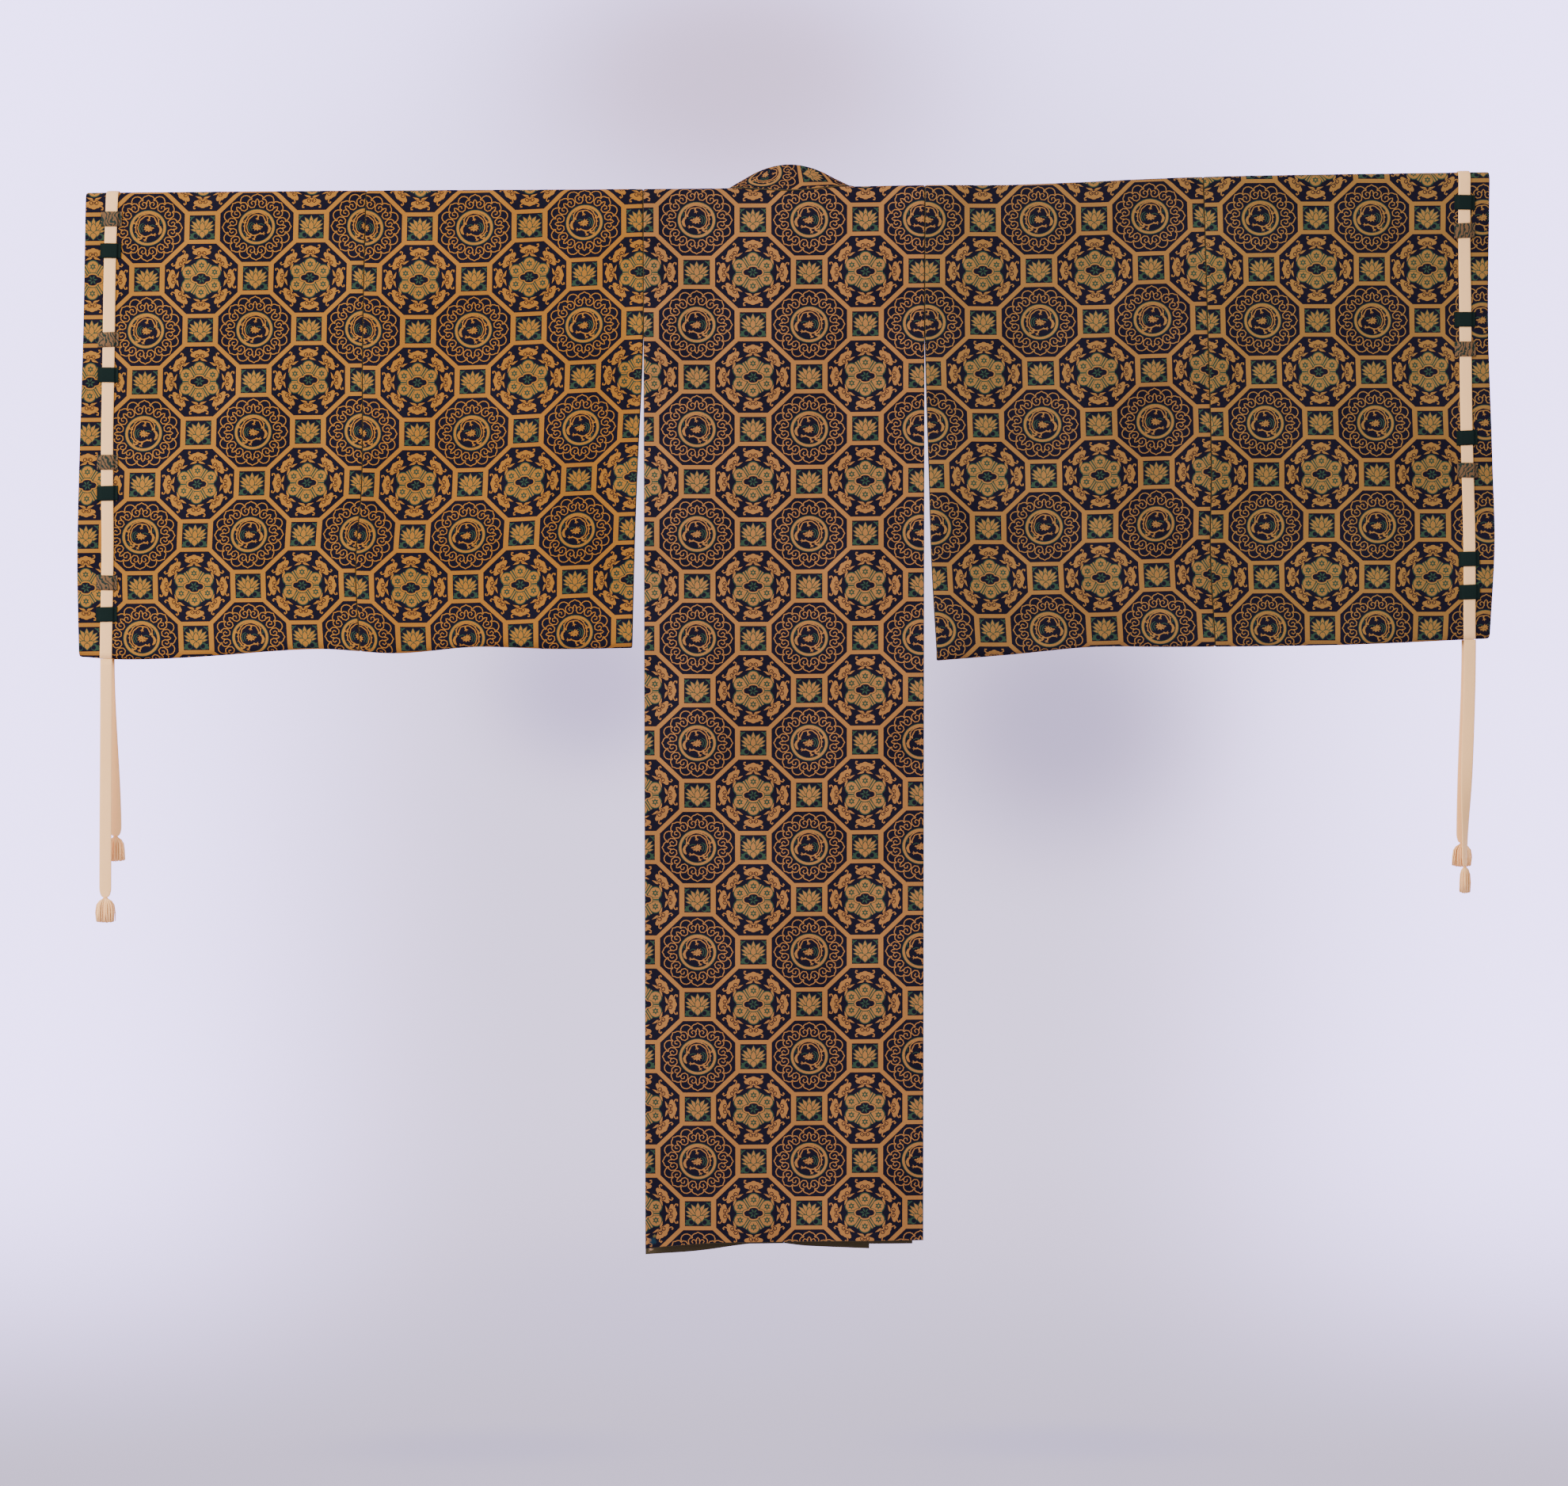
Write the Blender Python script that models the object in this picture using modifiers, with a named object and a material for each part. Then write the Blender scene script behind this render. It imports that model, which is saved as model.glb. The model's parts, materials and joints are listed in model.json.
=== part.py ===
"""Ceremonial court robe hung on a rod through its sleeves, seen from the back.

Metres, +Z up, +X to the viewer's right, -Y towards the viewer, who sees the robe's back.
The origin is on the rod's centre line where the middle of the robe hangs. The robe is cut from
loom widths of brocade: one for the body and two for each sleeve. It hangs flat, folded over the
rod along the shoulder line, with its left front over its right one.
"""

import math
from collections import namedtuple

import bmesh
import bpy
from mathutils import Matrix, Vector

CLOTH = 0.0020          # wall of the lined brocade
SEAM = 0.0003           # between two pieces that meet
LAYER = 0.0032          # between the middles of two walls that lie on each other
ROD_RADIUS = 0.0110
ROD_ENDS = (-0.988, 0.998)
FOLD_RADIUS = 0.0126    # the cloth's middle over the rod
FOLD_STEPS = 10         # flats in the half turn over the rod
QUARTER = FOLD_RADIUS * math.pi / 2

# Height of the rod's centre line: it sags a little and one end is higher
LinePoint = namedtuple("LinePoint", "x z")
ROD_LINE = (
    LinePoint(-1.00, -0.0072),
    LinePoint(-0.60, -0.0040),
    LinePoint(-0.20, -0.0018),
    LinePoint(0.00, 0.0000),
    LinePoint(0.20, 0.0038),
    LinePoint(0.33, 0.0044),
    LinePoint(0.60, 0.0156),
    LinePoint(1.00, 0.0223),
)

# Lines that run down each sleeve: where they stand at each depth under the rod
SleeveLine = namedtuple("SleeveLine", "depth wrist tape middle armhole")
SLEEVE_LINES = {
    "left": (
        SleeveLine(0.00, -0.9920, -0.9540, -0.5940, -0.2003),
        SleeveLine(0.20, -0.9960, -0.9595, -0.5985, -0.2003),
        SleeveLine(0.40, -1.0025, -0.9613, -0.6000, -0.2090),
        SleeveLine(0.52, -1.0045, -0.9620, -0.6085, -0.2130),
        SleeveLine(0.65, -1.0020, -0.9630, -0.6020, -0.2160),
    ),
    "right": (
        SleeveLine(0.00, 1.0024, 0.9664, 0.5960, 0.2003),
        SleeveLine(0.20, 1.0005, 0.9668, 0.6020, 0.2003),
        SleeveLine(0.40, 1.0070, 0.9710, 0.6075, 0.2060),
        SleeveLine(0.52, 1.0100, 0.9730, 0.6060, 0.2095),
        SleeveLine(0.65, 1.0030, 0.9745, 0.6130, 0.2170),
    ),
}

# Lowest line of each sleeve, from wrist to armhole or back
SLEEVE_BOTTOM = {
    "left": (
        LinePoint(-1.001, -0.6540),
        LinePoint(-0.934, -0.6580),
        LinePoint(-0.832, -0.6540),
        LinePoint(-0.664, -0.6430),
        LinePoint(-0.551, -0.6490),
        LinePoint(-0.439, -0.6400),
        LinePoint(-0.326, -0.6430),
        LinePoint(-0.217, -0.6415),
    ),
    "right": (
        LinePoint(0.218, -0.6595),
        LinePoint(0.326, -0.6505),
        LinePoint(0.439, -0.6400),
        LinePoint(0.551, -0.6400),
        LinePoint(0.720, -0.6385),
        LinePoint(0.832, -0.6360),
        LinePoint(1.001, -0.6280),
    ),
}
SLEEVE_ROWS = 8         # rows of faces down each side of a sleeve
SLEEVE_COLUMNS = 7      # strips of faces across one loom width
TURN_STEPS = 4          # flats round a sleeve's bottom edge

# Soft folds: both faces of the cloth stand off together, away from the viewer where push is positive
Fold = namedtuple("Fold", "x half_width push begins")
FOLDS = (
    Fold(-0.900, 0.100, 0.0025, 0.12),
    Fold(-0.730, 0.095, -0.0030, 0.08),
    Fold(-0.520, 0.085, 0.0032, 0.20),
    Fold(-0.350, 0.095, -0.0026, 0.05),
    Fold(-0.120, 0.070, -0.0030, 0.50),
    Fold(0.020, 0.080, 0.0035, 0.35),
    Fold(0.140, 0.060, -0.0032, 0.60),
    Fold(0.300, 0.090, 0.0030, 0.15),
    Fold(0.470, 0.100, -0.0025, 0.10),
    Fold(0.680, 0.085, 0.0032, 0.22),
    Fold(0.860, 0.100, -0.0028, 0.06),
)
FOLD_FADE = 0.30        # depth over which a fold grows to its full push
GAP_CLOSING = 0.0036    # how much nearer each hanging back and sleeve face comes to the other
GAP_FADE = 0.50

# Body, one loom width across
BACK_SIDES = (-0.2000, 0.2000)
BACK_HEM_SIDES = (-0.1970, 0.1980)
BACK_HEM = (LinePoint(-0.20, -1.4860), LinePoint(0.20, -1.4830))
BACK_COLUMNS = 10
BACK_DEPTHS = (0.04, 0.11, 0.20, 0.31, 0.43, 0.56, 0.70, 0.84, 0.98, 1.12, 1.25, 1.37)
FRONT_SEAM = 0.0220     # how far down in front of the shoulder line back and fronts part, along the cloth
FRONT_SIDE = 0.1975
UNDER_HEM_SIDE = 0.1830
OVERLAP_LEFT = 0.1215
OVERLAP_RIGHT = -0.1200
OVERLAP_LEFT_TOP = 0.0260
OVERLAP_RIGHT_TOP = 0.0460
OVER_HEM = (
    LinePoint(-0.197, -1.5055),
    LinePoint(-0.124, -1.5000),
    LinePoint(-0.026, -1.4886),
    LinePoint(0.034, -1.4940),
    LinePoint(0.1215, -1.4970),
)
UNDER_HEM = (LinePoint(-0.12, -1.4900), LinePoint(0.19, -1.4900))
FRONT_SHARES = (0.0, 0.025, 0.06, 0.11, 0.18, 0.27, 0.38, 0.50, 0.62, 0.74, 0.86, 0.94, 1.0)
NECK_BULGE = 0.0130     # the fronts stand this far off at the neck
BULGE_DEPTHS = (0.10, 0.40)

# Neck and collar
NECK_CENTRE = 0.0080
NECK_HALF_WIDTH = 0.1000
NECK_BACK = 0.0300      # neck edge behind the front seam, along the cloth
NECK_FRONT = 0.0550     # neck edge in front of it
COLLAR_WALL = 0.0024
COLLAR_LAP = 0.0040
COLLAR_LIFT = 0.0028
COLLAR_HALF_WIDTH = 0.0700
COLLAR_ARC = 0.1110     # radius of the collar's upper edge, seen from behind
COLLAR_TOP = 0.0460
COLLAR_SIDE = 0.0210
COLLAR_FRONT = -0.0200
COLLAR_Y = (-0.0060, 0.0250, 0.0370)
COLLAR_STEPS = 46
COLLAR_OPENING = math.radians(115)
COLLAR_OPENING_HALF = math.radians(1.2)
KNOT_RADIUS = 0.0050
LOOP_RING = 0.0085
LOOP_CORD = 0.0015

# Braid: a flat tape through eight loops on each face of each sleeve
TAPE_WIDTH = 0.0170
TAPE_WALL = 0.0020
TAPE_STRIP = 0.0320     # strip of the sleeve that the tape and its loops lie on
LOOP_WALL = 0.0012
LOOP_HEIGHT = 0.0210
LOOP_HALF_WIDTH = 0.0150
LOOP_SHOULDER = 0.0098
LOOP_DEPTHS = {
    "left": (0.039, 0.084, 0.210, 0.260, 0.384, 0.428, 0.555, 0.600),
    "right": (0.044, 0.084, 0.210, 0.252, 0.378, 0.424, 0.550, 0.597),
}
LOOP_KINDS = {
    "left": ("brocade", "green") * 4,
    "right": ("green", "brocade") * 3 + ("green", "green"),
}

# Free ends of the tape: where each ends, and the tassel it is bound into
TapeEnd = namedtuple("TapeEnd", "sleeve face length foot_x turn tassel_width tassel_length")
TAPE_ENDS = (
    TapeEnd("left", "back", 0.3385, -0.9645, 0, 0.028, 0.031),
    TapeEnd("left", "front", 0.2520, -0.9530, 8, 0.028, 0.031),
    TapeEnd("right", "back", 0.3220, 0.9675, 60, 0.024, 0.033),
    TapeEnd("right", "front", 0.2890, 0.9665, 12, 0.030, 0.029),
)
END_ROWS = 16
END_PINCH = 0.0060      # width where the tape is bound
PINCH_LENGTH = 0.0140
TASSEL_HEAD = (0.0075, 0.0050, 0.0060)
TASSEL_GRID = (6, 4)
TASSEL_DEPTH = 0.0140
STRAND_GAP = 0.00012    # half the gap between two strands at their roots
TASSEL_ROWS = ((0.35, 0.40), (1.0, 1.0))    # share of a strand's length, share of its flare there

SIGN = {"left": -1, "right": 1, "back": -1, "front": 1}


def clear_scene():
    """Remove every object of the open file."""
    for thing in list(bpy.data.objects):
        bpy.data.objects.remove(thing, do_unlink=True)


def smooth(share):
    """Ease from 0 to 1."""
    share = min(max(share, 0.0), 1.0)
    return share * share * (3 - 2 * share)


def between(first, second, share):
    """Value part of the way from the first to the second."""
    return first + (second - first) * share


def along(table, at, key=0, value=1):
    """Value at a place on a smooth curve through a table's rows."""
    rows = [(row[key], row[value]) for row in table]
    if at <= rows[0][0]:
        return rows[0][1]
    if at >= rows[-1][0]:
        return rows[-1][1]
    k = max(i for i, row in enumerate(rows) if row[0] <= at)

    def slope(i):
        low, high = rows[max(i - 1, 0)], rows[min(i + 1, len(rows) - 1)]
        return (high[1] - low[1]) / (high[0] - low[0])

    span = rows[k + 1][0] - rows[k][0]
    t = (at - rows[k][0]) / span
    rise = rows[k + 1][1] - rows[k][1]
    start, end = slope(k) * span, slope(k + 1) * span
    bend = (3 * rise - 2 * start - end) * t * t + (start + end - 2 * rise) * t ** 3
    return rows[k][1] + start * t + bend


def rod_height(x):
    """Height of the rod's centre line."""
    return along(ROD_LINE, x)


def fold(x, depth):
    """How far the hanging cloth stands off its plane at a place."""
    total = 0.0
    for row in FOLDS:
        across = abs(x - row.x) / row.half_width
        if across < 1:
            total += row.push * (1 - across * across) ** 2 * smooth((depth - row.begins) / FOLD_FADE)
    return total


def half_gap(depth):
    """Half the distance between the hanging back and front faces."""
    return FOLD_RADIUS - GAP_CLOSING * smooth(depth / GAP_FADE)


def face_point(x, z, side, lift=0.0):
    """Point of the cloth's middle on the back (side -1) or a sleeve's front (side 1)."""
    depth = rod_height(x) - z
    return Vector((x, side * (half_gap(depth) + lift) + fold(x, depth), z))


def fold_point(x, angle, lift=0.0):
    """Point of the cloth's middle over the rod: angle 0 on top, negative at the back."""
    radius = FOLD_RADIUS + lift
    return Vector((x, radius * math.sin(angle), rod_height(x) + radius * math.cos(angle)))


def over_share(x):
    """How much of the layer step the left front has taken at a place, from 0 at its side to 1."""
    return smooth((x - NECK_CENTRE + NECK_HALF_WIDTH) / (2 * NECK_HALF_WIDTH))


def front_point(x, z, layer, lift=0.0):
    """Point of the middle of a front: layer "over" is the left front, "under" the right one."""
    depth = rod_height(x) - z
    near = smooth((NECK_HALF_WIDTH + 0.01 - abs(x - NECK_CENTRE)) / (0.8 * NECK_HALF_WIDTH))
    far = smooth((BULGE_DEPTHS[1] - depth) / (BULGE_DEPTHS[1] - BULGE_DEPTHS[0]))
    step = over_share(x) - (layer == "under")
    y = FOLD_RADIUS + NECK_BULGE * near * far + LAYER * step + fold(x, depth) + lift
    return Vector((x, y, z))


def sheet_point(x, length, lift=0.0):
    """Point of the body's cloth by its length from the shoulder line: negative down the back."""
    if abs(length) <= QUARTER:
        return fold_point(x, length / FOLD_RADIUS, lift)
    z = rod_height(x) - (abs(length) - QUARTER)
    if length < 0:
        return face_point(x, z, -1, lift)
    return front_point(x, z, "over", lift)


def neck_edge(x):
    """Length along the cloth at which the fronts start, from the shoulder line."""
    across = abs(x - NECK_CENTRE) / NECK_HALF_WIDTH
    return FRONT_SEAM + NECK_FRONT * math.sqrt(max(0.0, 1 - across * across))


def material(name, colour, roughness, sheen=0.0, metallic=0.0):
    """A plain finish."""
    made = bpy.data.materials.new(name)
    made.use_nodes = True
    finish = made.node_tree.nodes["Principled BSDF"]
    finish.inputs["Base Color"].default_value = (*colour, 1.0)
    finish.inputs["Roughness"].default_value = roughness
    finish.inputs["Sheen Weight"].default_value = sheen
    finish.inputs["Metallic"].default_value = metallic
    made.diffuse_color = (*colour, 1.0)
    return made


def brocade(name):
    """Finish of one brocade piece."""
    return material(name + "_brocade", (0.085, 0.070, 0.050), 0.62, 0.3)


def place(name, mesh, finish, collection):
    """Put a mesh into the model as one named object."""
    mesh.materials.append(finish)
    thing = bpy.data.objects.new(name, mesh)
    collection.objects.link(thing)
    return thing


def wall(name, columns, thickness, finish, collection, ring=False):
    """A cloth wall: a sheet through columns of points, thickened evenly to both sides."""
    rows = len(columns[0])
    faces = []
    for column in range(len(columns) - 1):
        for row in range(rows if ring else rows - 1):
            here = column * rows + row
            above = column * rows + (row + 1) % rows
            faces.append((here, above, above + rows, here + rows))
    mesh = bpy.data.meshes.new(name)
    mesh.from_pydata([point for column in columns for point in column], [], faces)
    mesh.shade_smooth()
    thing = place(name, mesh, finish, collection)
    solid = thing.modifiers.new("wall", "SOLIDIFY")
    solid.thickness = thickness
    solid.offset = 0.0
    solid.use_even_offset = True
    return thing


def fold_angles(first, last, steps):
    """Angles over the rod, ends included."""
    return [between(first, last, k / steps) for k in range(steps + 1)]


def build_rod(collection):
    """The pole through both sleeves, round, along its own sagging line."""
    path = bpy.data.curves.new("rod", "CURVE")
    path.dimensions = "3D"
    path.bevel_depth = ROD_RADIUS
    path.bevel_resolution = 4
    path.use_fill_caps = True
    steps = 20
    line = path.splines.new("POLY")
    line.points.add(steps)
    for k, point in enumerate(line.points):
        x = between(*ROD_ENDS, k / steps)
        point.co = (x, 0.0, rod_height(x), 1.0)
    path.materials.append(material("rod_wood", (0.32, 0.22, 0.13), 0.55))
    rod = bpy.data.objects.new("rod", path)
    collection.objects.link(rod)


def sleeve_line(side, depth, line):
    """Where a named line of the sleeve stands across at a depth."""
    fields = SleeveLine._fields
    return along(SLEEVE_LINES[side], depth, 0, fields.index(line))


def sleeve_ring(side, line):
    """Ring of points round a sleeve on a line across it, which gives x for a depth.

    It starts at the back's lower end, runs up the back, over the rod, down the front and round
    the bottom edge.
    """
    low_x = line(SLEEVE_LINES[side][-1].depth)
    bottom = along(SLEEVE_BOTTOM[side], low_x)
    turn = bottom + CLOTH / 2 + half_gap(rod_height(low_x) - bottom)
    faces = {"back": [], "front": []}
    for row in range(SLEEVE_ROWS + 1):
        z = between(turn, rod_height(line(0)), row / SLEEVE_ROWS)
        x = line(rod_height(low_x) - z)
        for face, points in faces.items():
            points.append(face_point(x, z, SIGN[face]))
    over = [fold_point(line(0), angle) for angle in fold_angles(-math.pi / 2, math.pi / 2, FOLD_STEPS)]
    front = list(reversed(faces["front"]))
    middle = (faces["back"][0] + front[-1]) / 2
    radius = (front[-1] - middle).length
    under = []
    for k in range(1, TURN_STEPS):
        angle = math.pi * k / TURN_STEPS
        under.append(middle + radius * Vector((0, math.cos(angle), -math.sin(angle))))
    return faces["back"][:-1] + over + front[1:] + under


def sleeve_rings(side, part):
    """Rings across one loom width of a sleeve, from its inner side to its outer one."""
    sign = SIGN[side]
    strip = TAPE_STRIP / 2

    def inner(share):
        return lambda depth: between(
            sleeve_line(side, depth, "armhole") + sign * SEAM / 2,
            sleeve_line(side, depth, "middle") - sign * SEAM / 2,
            share,
        )

    def outer(share):
        return lambda depth: between(
            sleeve_line(side, depth, "middle") + sign * SEAM / 2,
            sleeve_line(side, depth, "tape") - sign * strip,
            share,
        )

    shares = [k / SLEEVE_COLUMNS for k in range(SLEEVE_COLUMNS + 1)]
    if part == "inner":
        return [sleeve_ring(side, inner(share)) for share in shares]
    lines = [outer(share) for share in shares]
    lines.append(lambda depth: sleeve_line(side, depth, "tape") + sign * strip)
    lines.append(lambda depth: sleeve_line(side, depth, "wrist"))
    return [sleeve_ring(side, line) for line in lines]


def outward_order(columns):
    """Columns from left to right, so that each sheet's faces point out of the robe."""
    if columns[0][0].x > columns[-1][0].x:
        return list(reversed(columns))
    return columns


def build_sleeves(collection):
    """Two loom widths for each sleeve, each a flat tube open at both ends."""
    for side in SLEEVE_LINES:
        for part in ("inner", "outer"):
            name = f"sleeve_{side}_{part}"
            rings = outward_order(sleeve_rings(side, part))
            wall(name, rings, CLOTH, brocade(name), collection, ring=True)


def moved_out(points, columns, lift):
    """Points of a strip's lines, shares given, moved out of the cloth by lift."""
    moved = []
    for k, (first, second) in enumerate(zip(*columns)):
        before = columns[0][max(k - 1, 0)]
        after = columns[0][min(k + 1, len(columns[0]) - 1)]
        run = after - before
        out = Vector((0, -run.z, run.y)).normalized()
        moved.append([first.lerp(second, share) + out * lift for share in points])
    return moved


def tape_rows(side):
    """The strip of sleeve under the tape, as its two lines from back bottom to front bottom."""
    rings = sleeve_rings(side, "outer")
    low, high = rings[-3], rings[-2]
    count = 2 * SLEEVE_ROWS + FOLD_STEPS + 1
    return low[:count], high[:count]


def tape_bottom(side):
    """Height at which the tape leaves the sleeve's bottom edge."""
    return along(SLEEVE_BOTTOM[side], sleeve_line(side, SLEEVE_LINES[side][-1].depth, "tape"))


def build_held_tapes(collection):
    """The flat braid on each sleeve, up the back, over the shoulder fold and down the front."""
    share = TAPE_WIDTH / TAPE_STRIP / 2
    lift = CLOTH / 2 + SEAM + TAPE_WALL / 2
    for side in SLEEVE_LINES:
        columns = tape_rows(side)
        rows = moved_out((0.5 - share, 0.5 + share), columns, lift)
        bottom = tape_bottom(side)
        rows = [[point + Vector((0, 0, bottom - point.z)) for point in rows[0]]] + rows
        rows = rows + [[point + Vector((0, 0, bottom - point.z)) for point in rows[-1]]]
        strips = outward_order([list(line) for line in zip(*rows)])
        finish = material(f"cord_tape_{side}_braid", (0.78, 0.56, 0.42), 0.7, 0.3)
        wall(f"cord_tape_{side}", strips, TAPE_WALL, finish, collection)


def strip_at(line, z):
    """Point of a line of points at a height."""
    for first, second in zip(line, line[1:]):
        if min(first.z, second.z) <= z <= max(first.z, second.z) and first.z != second.z:
            return first.lerp(second, (z - first.z) / (second.z - first.z))
    return line[-1]


def build_loops(collection):
    """Small bands sewn on each side of the tape, which runs through them."""
    finishes = {
        "green": material("loop_green_silk", (0.035, 0.075, 0.045), 0.6, 0.3),
        "brocade": material("loop_brocade_silk", (0.28, 0.20, 0.09), 0.6, 0.3),
    }
    lay = CLOTH / 2 + SEAM + LOOP_WALL / 2
    top = CLOTH / 2 + 2 * SEAM + TAPE_WALL + LOOP_WALL / 2 + SEAM
    outline = (
        (-LOOP_HALF_WIDTH, lay),
        (-LOOP_SHOULDER - 0.0012, lay),
        (-LOOP_SHOULDER, top),
        (0.0, top + 0.0004),
        (LOOP_SHOULDER, top),
        (LOOP_SHOULDER + 0.0012, lay),
        (LOOP_HALF_WIDTH, lay),
    )
    for side in SLEEVE_LINES:
        low, high = tape_rows(side)
        half = SLEEVE_ROWS + FOLD_STEPS // 2 + 1
        lines = {"back": (low[:half], high[:half]), "front": (low[half - 1:], high[half - 1:])}
        for face, strip in lines.items():
            for k, depth in enumerate(LOOP_DEPTHS[side]):
                middle = rod_height(strip[0][0].x) + FOLD_RADIUS + CLOTH / 2 - depth
                ends = []
                for z in (middle - LOOP_HEIGHT / 2, middle + LOOP_HEIGHT / 2):
                    ends.append([strip_at(line, z) for line in strip])
                columns = []
                for offset, lift in outline:
                    share = 0.5 + offset / TAPE_STRIP
                    out = Vector((0, SIGN[face] * lift, 0))
                    columns.append([first.lerp(second, share) + out for first, second in ends])
                columns = outward_order(columns)
                if face == "front":
                    columns.reverse()
                kind = LOOP_KINDS[side][k]
                name = f"loop_{side}_{face}_{k + 1}"
                wall(name, columns, LOOP_WALL, finishes[kind], collection)


def end_sections(end):
    """Centre, width and turn of a free tape end at each row, from the sleeve's bottom down."""
    sign = SIGN[end.face]
    low, high = tape_rows(end.sleeve)
    at = 0 if end.face == "back" else -1
    root = low[at].lerp(high[at], 0.5)
    root.y += sign * (CLOTH / 2 + SEAM + TAPE_WALL / 2)
    root.z = tape_bottom(end.sleeve) - SEAM
    sections = []
    for k in range(END_ROWS + 1):
        share = k / END_ROWS
        left = end.length * (1 - share)
        width = between(END_PINCH, TAPE_WIDTH, smooth(left / PINCH_LENGTH))
        x = between(root.x, end.foot_x, smooth(share))
        y = root.y - sign * 0.0015 * smooth(share)
        centre = Vector((x, y, root.z - end.length * share))
        sections.append((centre, width, math.radians(end.turn) * smooth((share - 0.45) / 0.5)))
    return sections


def build_tape_ends(collection):
    """Free ends of the tape, hanging below each sleeve at the back and at the front."""
    for end in TAPE_ENDS:
        columns = ([], [])
        for centre, width, turn in end_sections(end):
            reach = Vector((math.cos(turn), math.sin(turn), 0)) * width / 2
            columns[0].append(centre - reach)
            columns[1].append(centre + reach)
        name = f"tape_end_{end.sleeve}_{end.face}"
        finish = material(name + "_braid", (0.78, 0.56, 0.42), 0.7, 0.3)
        wall(name, columns, TAPE_WALL, finish, collection)


def build_tassels(collection):
    """A bound head on each tape end, with strands fanning out from its underside."""
    for end in TAPE_ENDS:
        centre, _, turn = end_sections(end)[-1]
        mesh = bpy.data.meshes.new("tassel")
        work = bmesh.new()
        bmesh.ops.create_grid(work, x_segments=TASSEL_GRID[0], y_segments=TASSEL_GRID[1], size=0.5)
        roots = list(work.faces)
        made = bmesh.ops.extrude_face_region(work, geom=roots, use_keep_orig=True)
        top = [part for part in made["geom"] if isinstance(part, bmesh.types.BMVert)]
        bmesh.ops.translate(work, verts=top, vec=(0, 0, 1))
        bmesh.ops.scale(work, verts=work.verts, vec=TASSEL_HEAD)
        bmesh.ops.inset_individual(work, faces=roots, thickness=STRAND_GAP, use_even_offset=True)
        before, wide, deep = 0.0, 1.0, 1.0
        for below, flare in TASSEL_ROWS:
            roots = bmesh.ops.extrude_discrete_faces(work, faces=roots)["faces"]
            tips = list({vert for face in roots for vert in face.verts})
            drop = (before - below) * end.tassel_length
            wider = between(1.0, end.tassel_width / TASSEL_HEAD[0], flare)
            deeper = between(1.0, TASSEL_DEPTH / TASSEL_HEAD[1], flare)
            bmesh.ops.translate(work, verts=tips, vec=(0, 0, drop))
            bmesh.ops.scale(work, verts=tips, vec=(wider / wide, deeper / deep, 1.0))
            before, wide, deep = below, wider, deeper
        bmesh.ops.recalc_face_normals(work, faces=work.faces)
        work.to_mesh(mesh)
        work.free()
        name = f"tassel_{end.sleeve}_{end.face}"
        finish = material(name + "_silk", (0.80, 0.58, 0.44), 0.75, 0.4)
        tassel = place(name, mesh, finish, collection)
        foot = centre - Vector((0, 0, SEAM + TASSEL_HEAD[2]))
        tassel.matrix_world = Matrix.Translation(foot) @ Matrix.Rotation(turn, 4, "Z")


def body_column(share):
    """Points of the back on one line down it, from the hem over the shoulder to the front seam."""
    def across(depth):
        lower = depth / -BACK_HEM[0].z
        left = between(BACK_SIDES[0], BACK_HEM_SIDES[0], lower)
        right = between(BACK_SIDES[1], BACK_HEM_SIDES[1], lower)
        return between(left, right, share)

    top_x = across(0)
    hem = along(BACK_HEM, across(-BACK_HEM[0].z))
    points = [face_point(across(-hem), hem, -1)]
    for depth in reversed(BACK_DEPTHS):
        x = across(depth)
        points.append(face_point(x, rod_height(x) - depth, -1))
    points += [fold_point(top_x, angle) for angle in fold_angles(-math.pi / 2, math.pi / 2, FOLD_STEPS)]
    seam = rod_height(top_x) - (FRONT_SEAM - SEAM / 2 - QUARTER)
    points.append(Vector((top_x, FOLD_RADIUS, seam)))
    return points


def build_back(collection, cutters):
    """The back, one loom width, with the back of the neck cut out of its upper end."""
    columns = [body_column(k / BACK_COLUMNS) for k in range(BACK_COLUMNS + 1)]
    back = wall("body_back", columns, CLOTH, brocade("body_back"), collection)

    deepest = 0.0105    # further forward the cut runs straight down
    floor_height, top_height = -0.006, 0.044
    clear_y = 0.030
    steps = 24
    outline = []
    for k in range(steps + 1):
        turn = math.pi * (k / steps - 0.5)
        length = FRONT_SEAM - NECK_BACK * math.cos(turn)
        y = min(FOLD_RADIUS * math.sin(min(length / FOLD_RADIUS, math.pi / 2)), deepest)
        outline.append((NECK_CENTRE + NECK_HALF_WIDTH * math.sin(turn), y))
    outline.append((NECK_CENTRE + NECK_HALF_WIDTH, clear_y))
    outline.append((NECK_CENTRE - NECK_HALF_WIDTH, clear_y))

    work = bmesh.new()
    floor = work.faces.new([work.verts.new((x, y, floor_height)) for x, y in outline])
    made = bmesh.ops.extrude_face_region(work, geom=[floor], use_keep_orig=True)
    top = [part for part in made["geom"] if isinstance(part, bmesh.types.BMVert)]
    bmesh.ops.translate(work, verts=top, vec=(0, 0, top_height - floor_height))
    bmesh.ops.recalc_face_normals(work, faces=work.faces)
    mesh = bpy.data.meshes.new("neck_cutter")
    work.to_mesh(mesh)
    work.free()
    cutter = bpy.data.objects.new("neck_cutter", mesh)
    cutter.hide_render = True
    cutter.display_type = "WIRE"
    cutters.objects.link(cutter)
    cut = back.modifiers.new("neck", "BOOLEAN")
    cut.object = cutter
    cut.operation = "DIFFERENCE"
    cut.solver = "EXACT"


def front_column(x, layer, top, hem):
    """Points of a front on one line down it, from its upper end to its hem."""
    points = []
    high = rod_height(x) - (top - QUARTER)
    for share in FRONT_SHARES:
        z = between(high, along(hem, x), share)
        at = x
        if layer == "under" and x > 0:
            at = between(x, x * UNDER_HEM_SIDE / FRONT_SIDE, share)
        points.append(front_point(at, z, layer))
    return points


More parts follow.
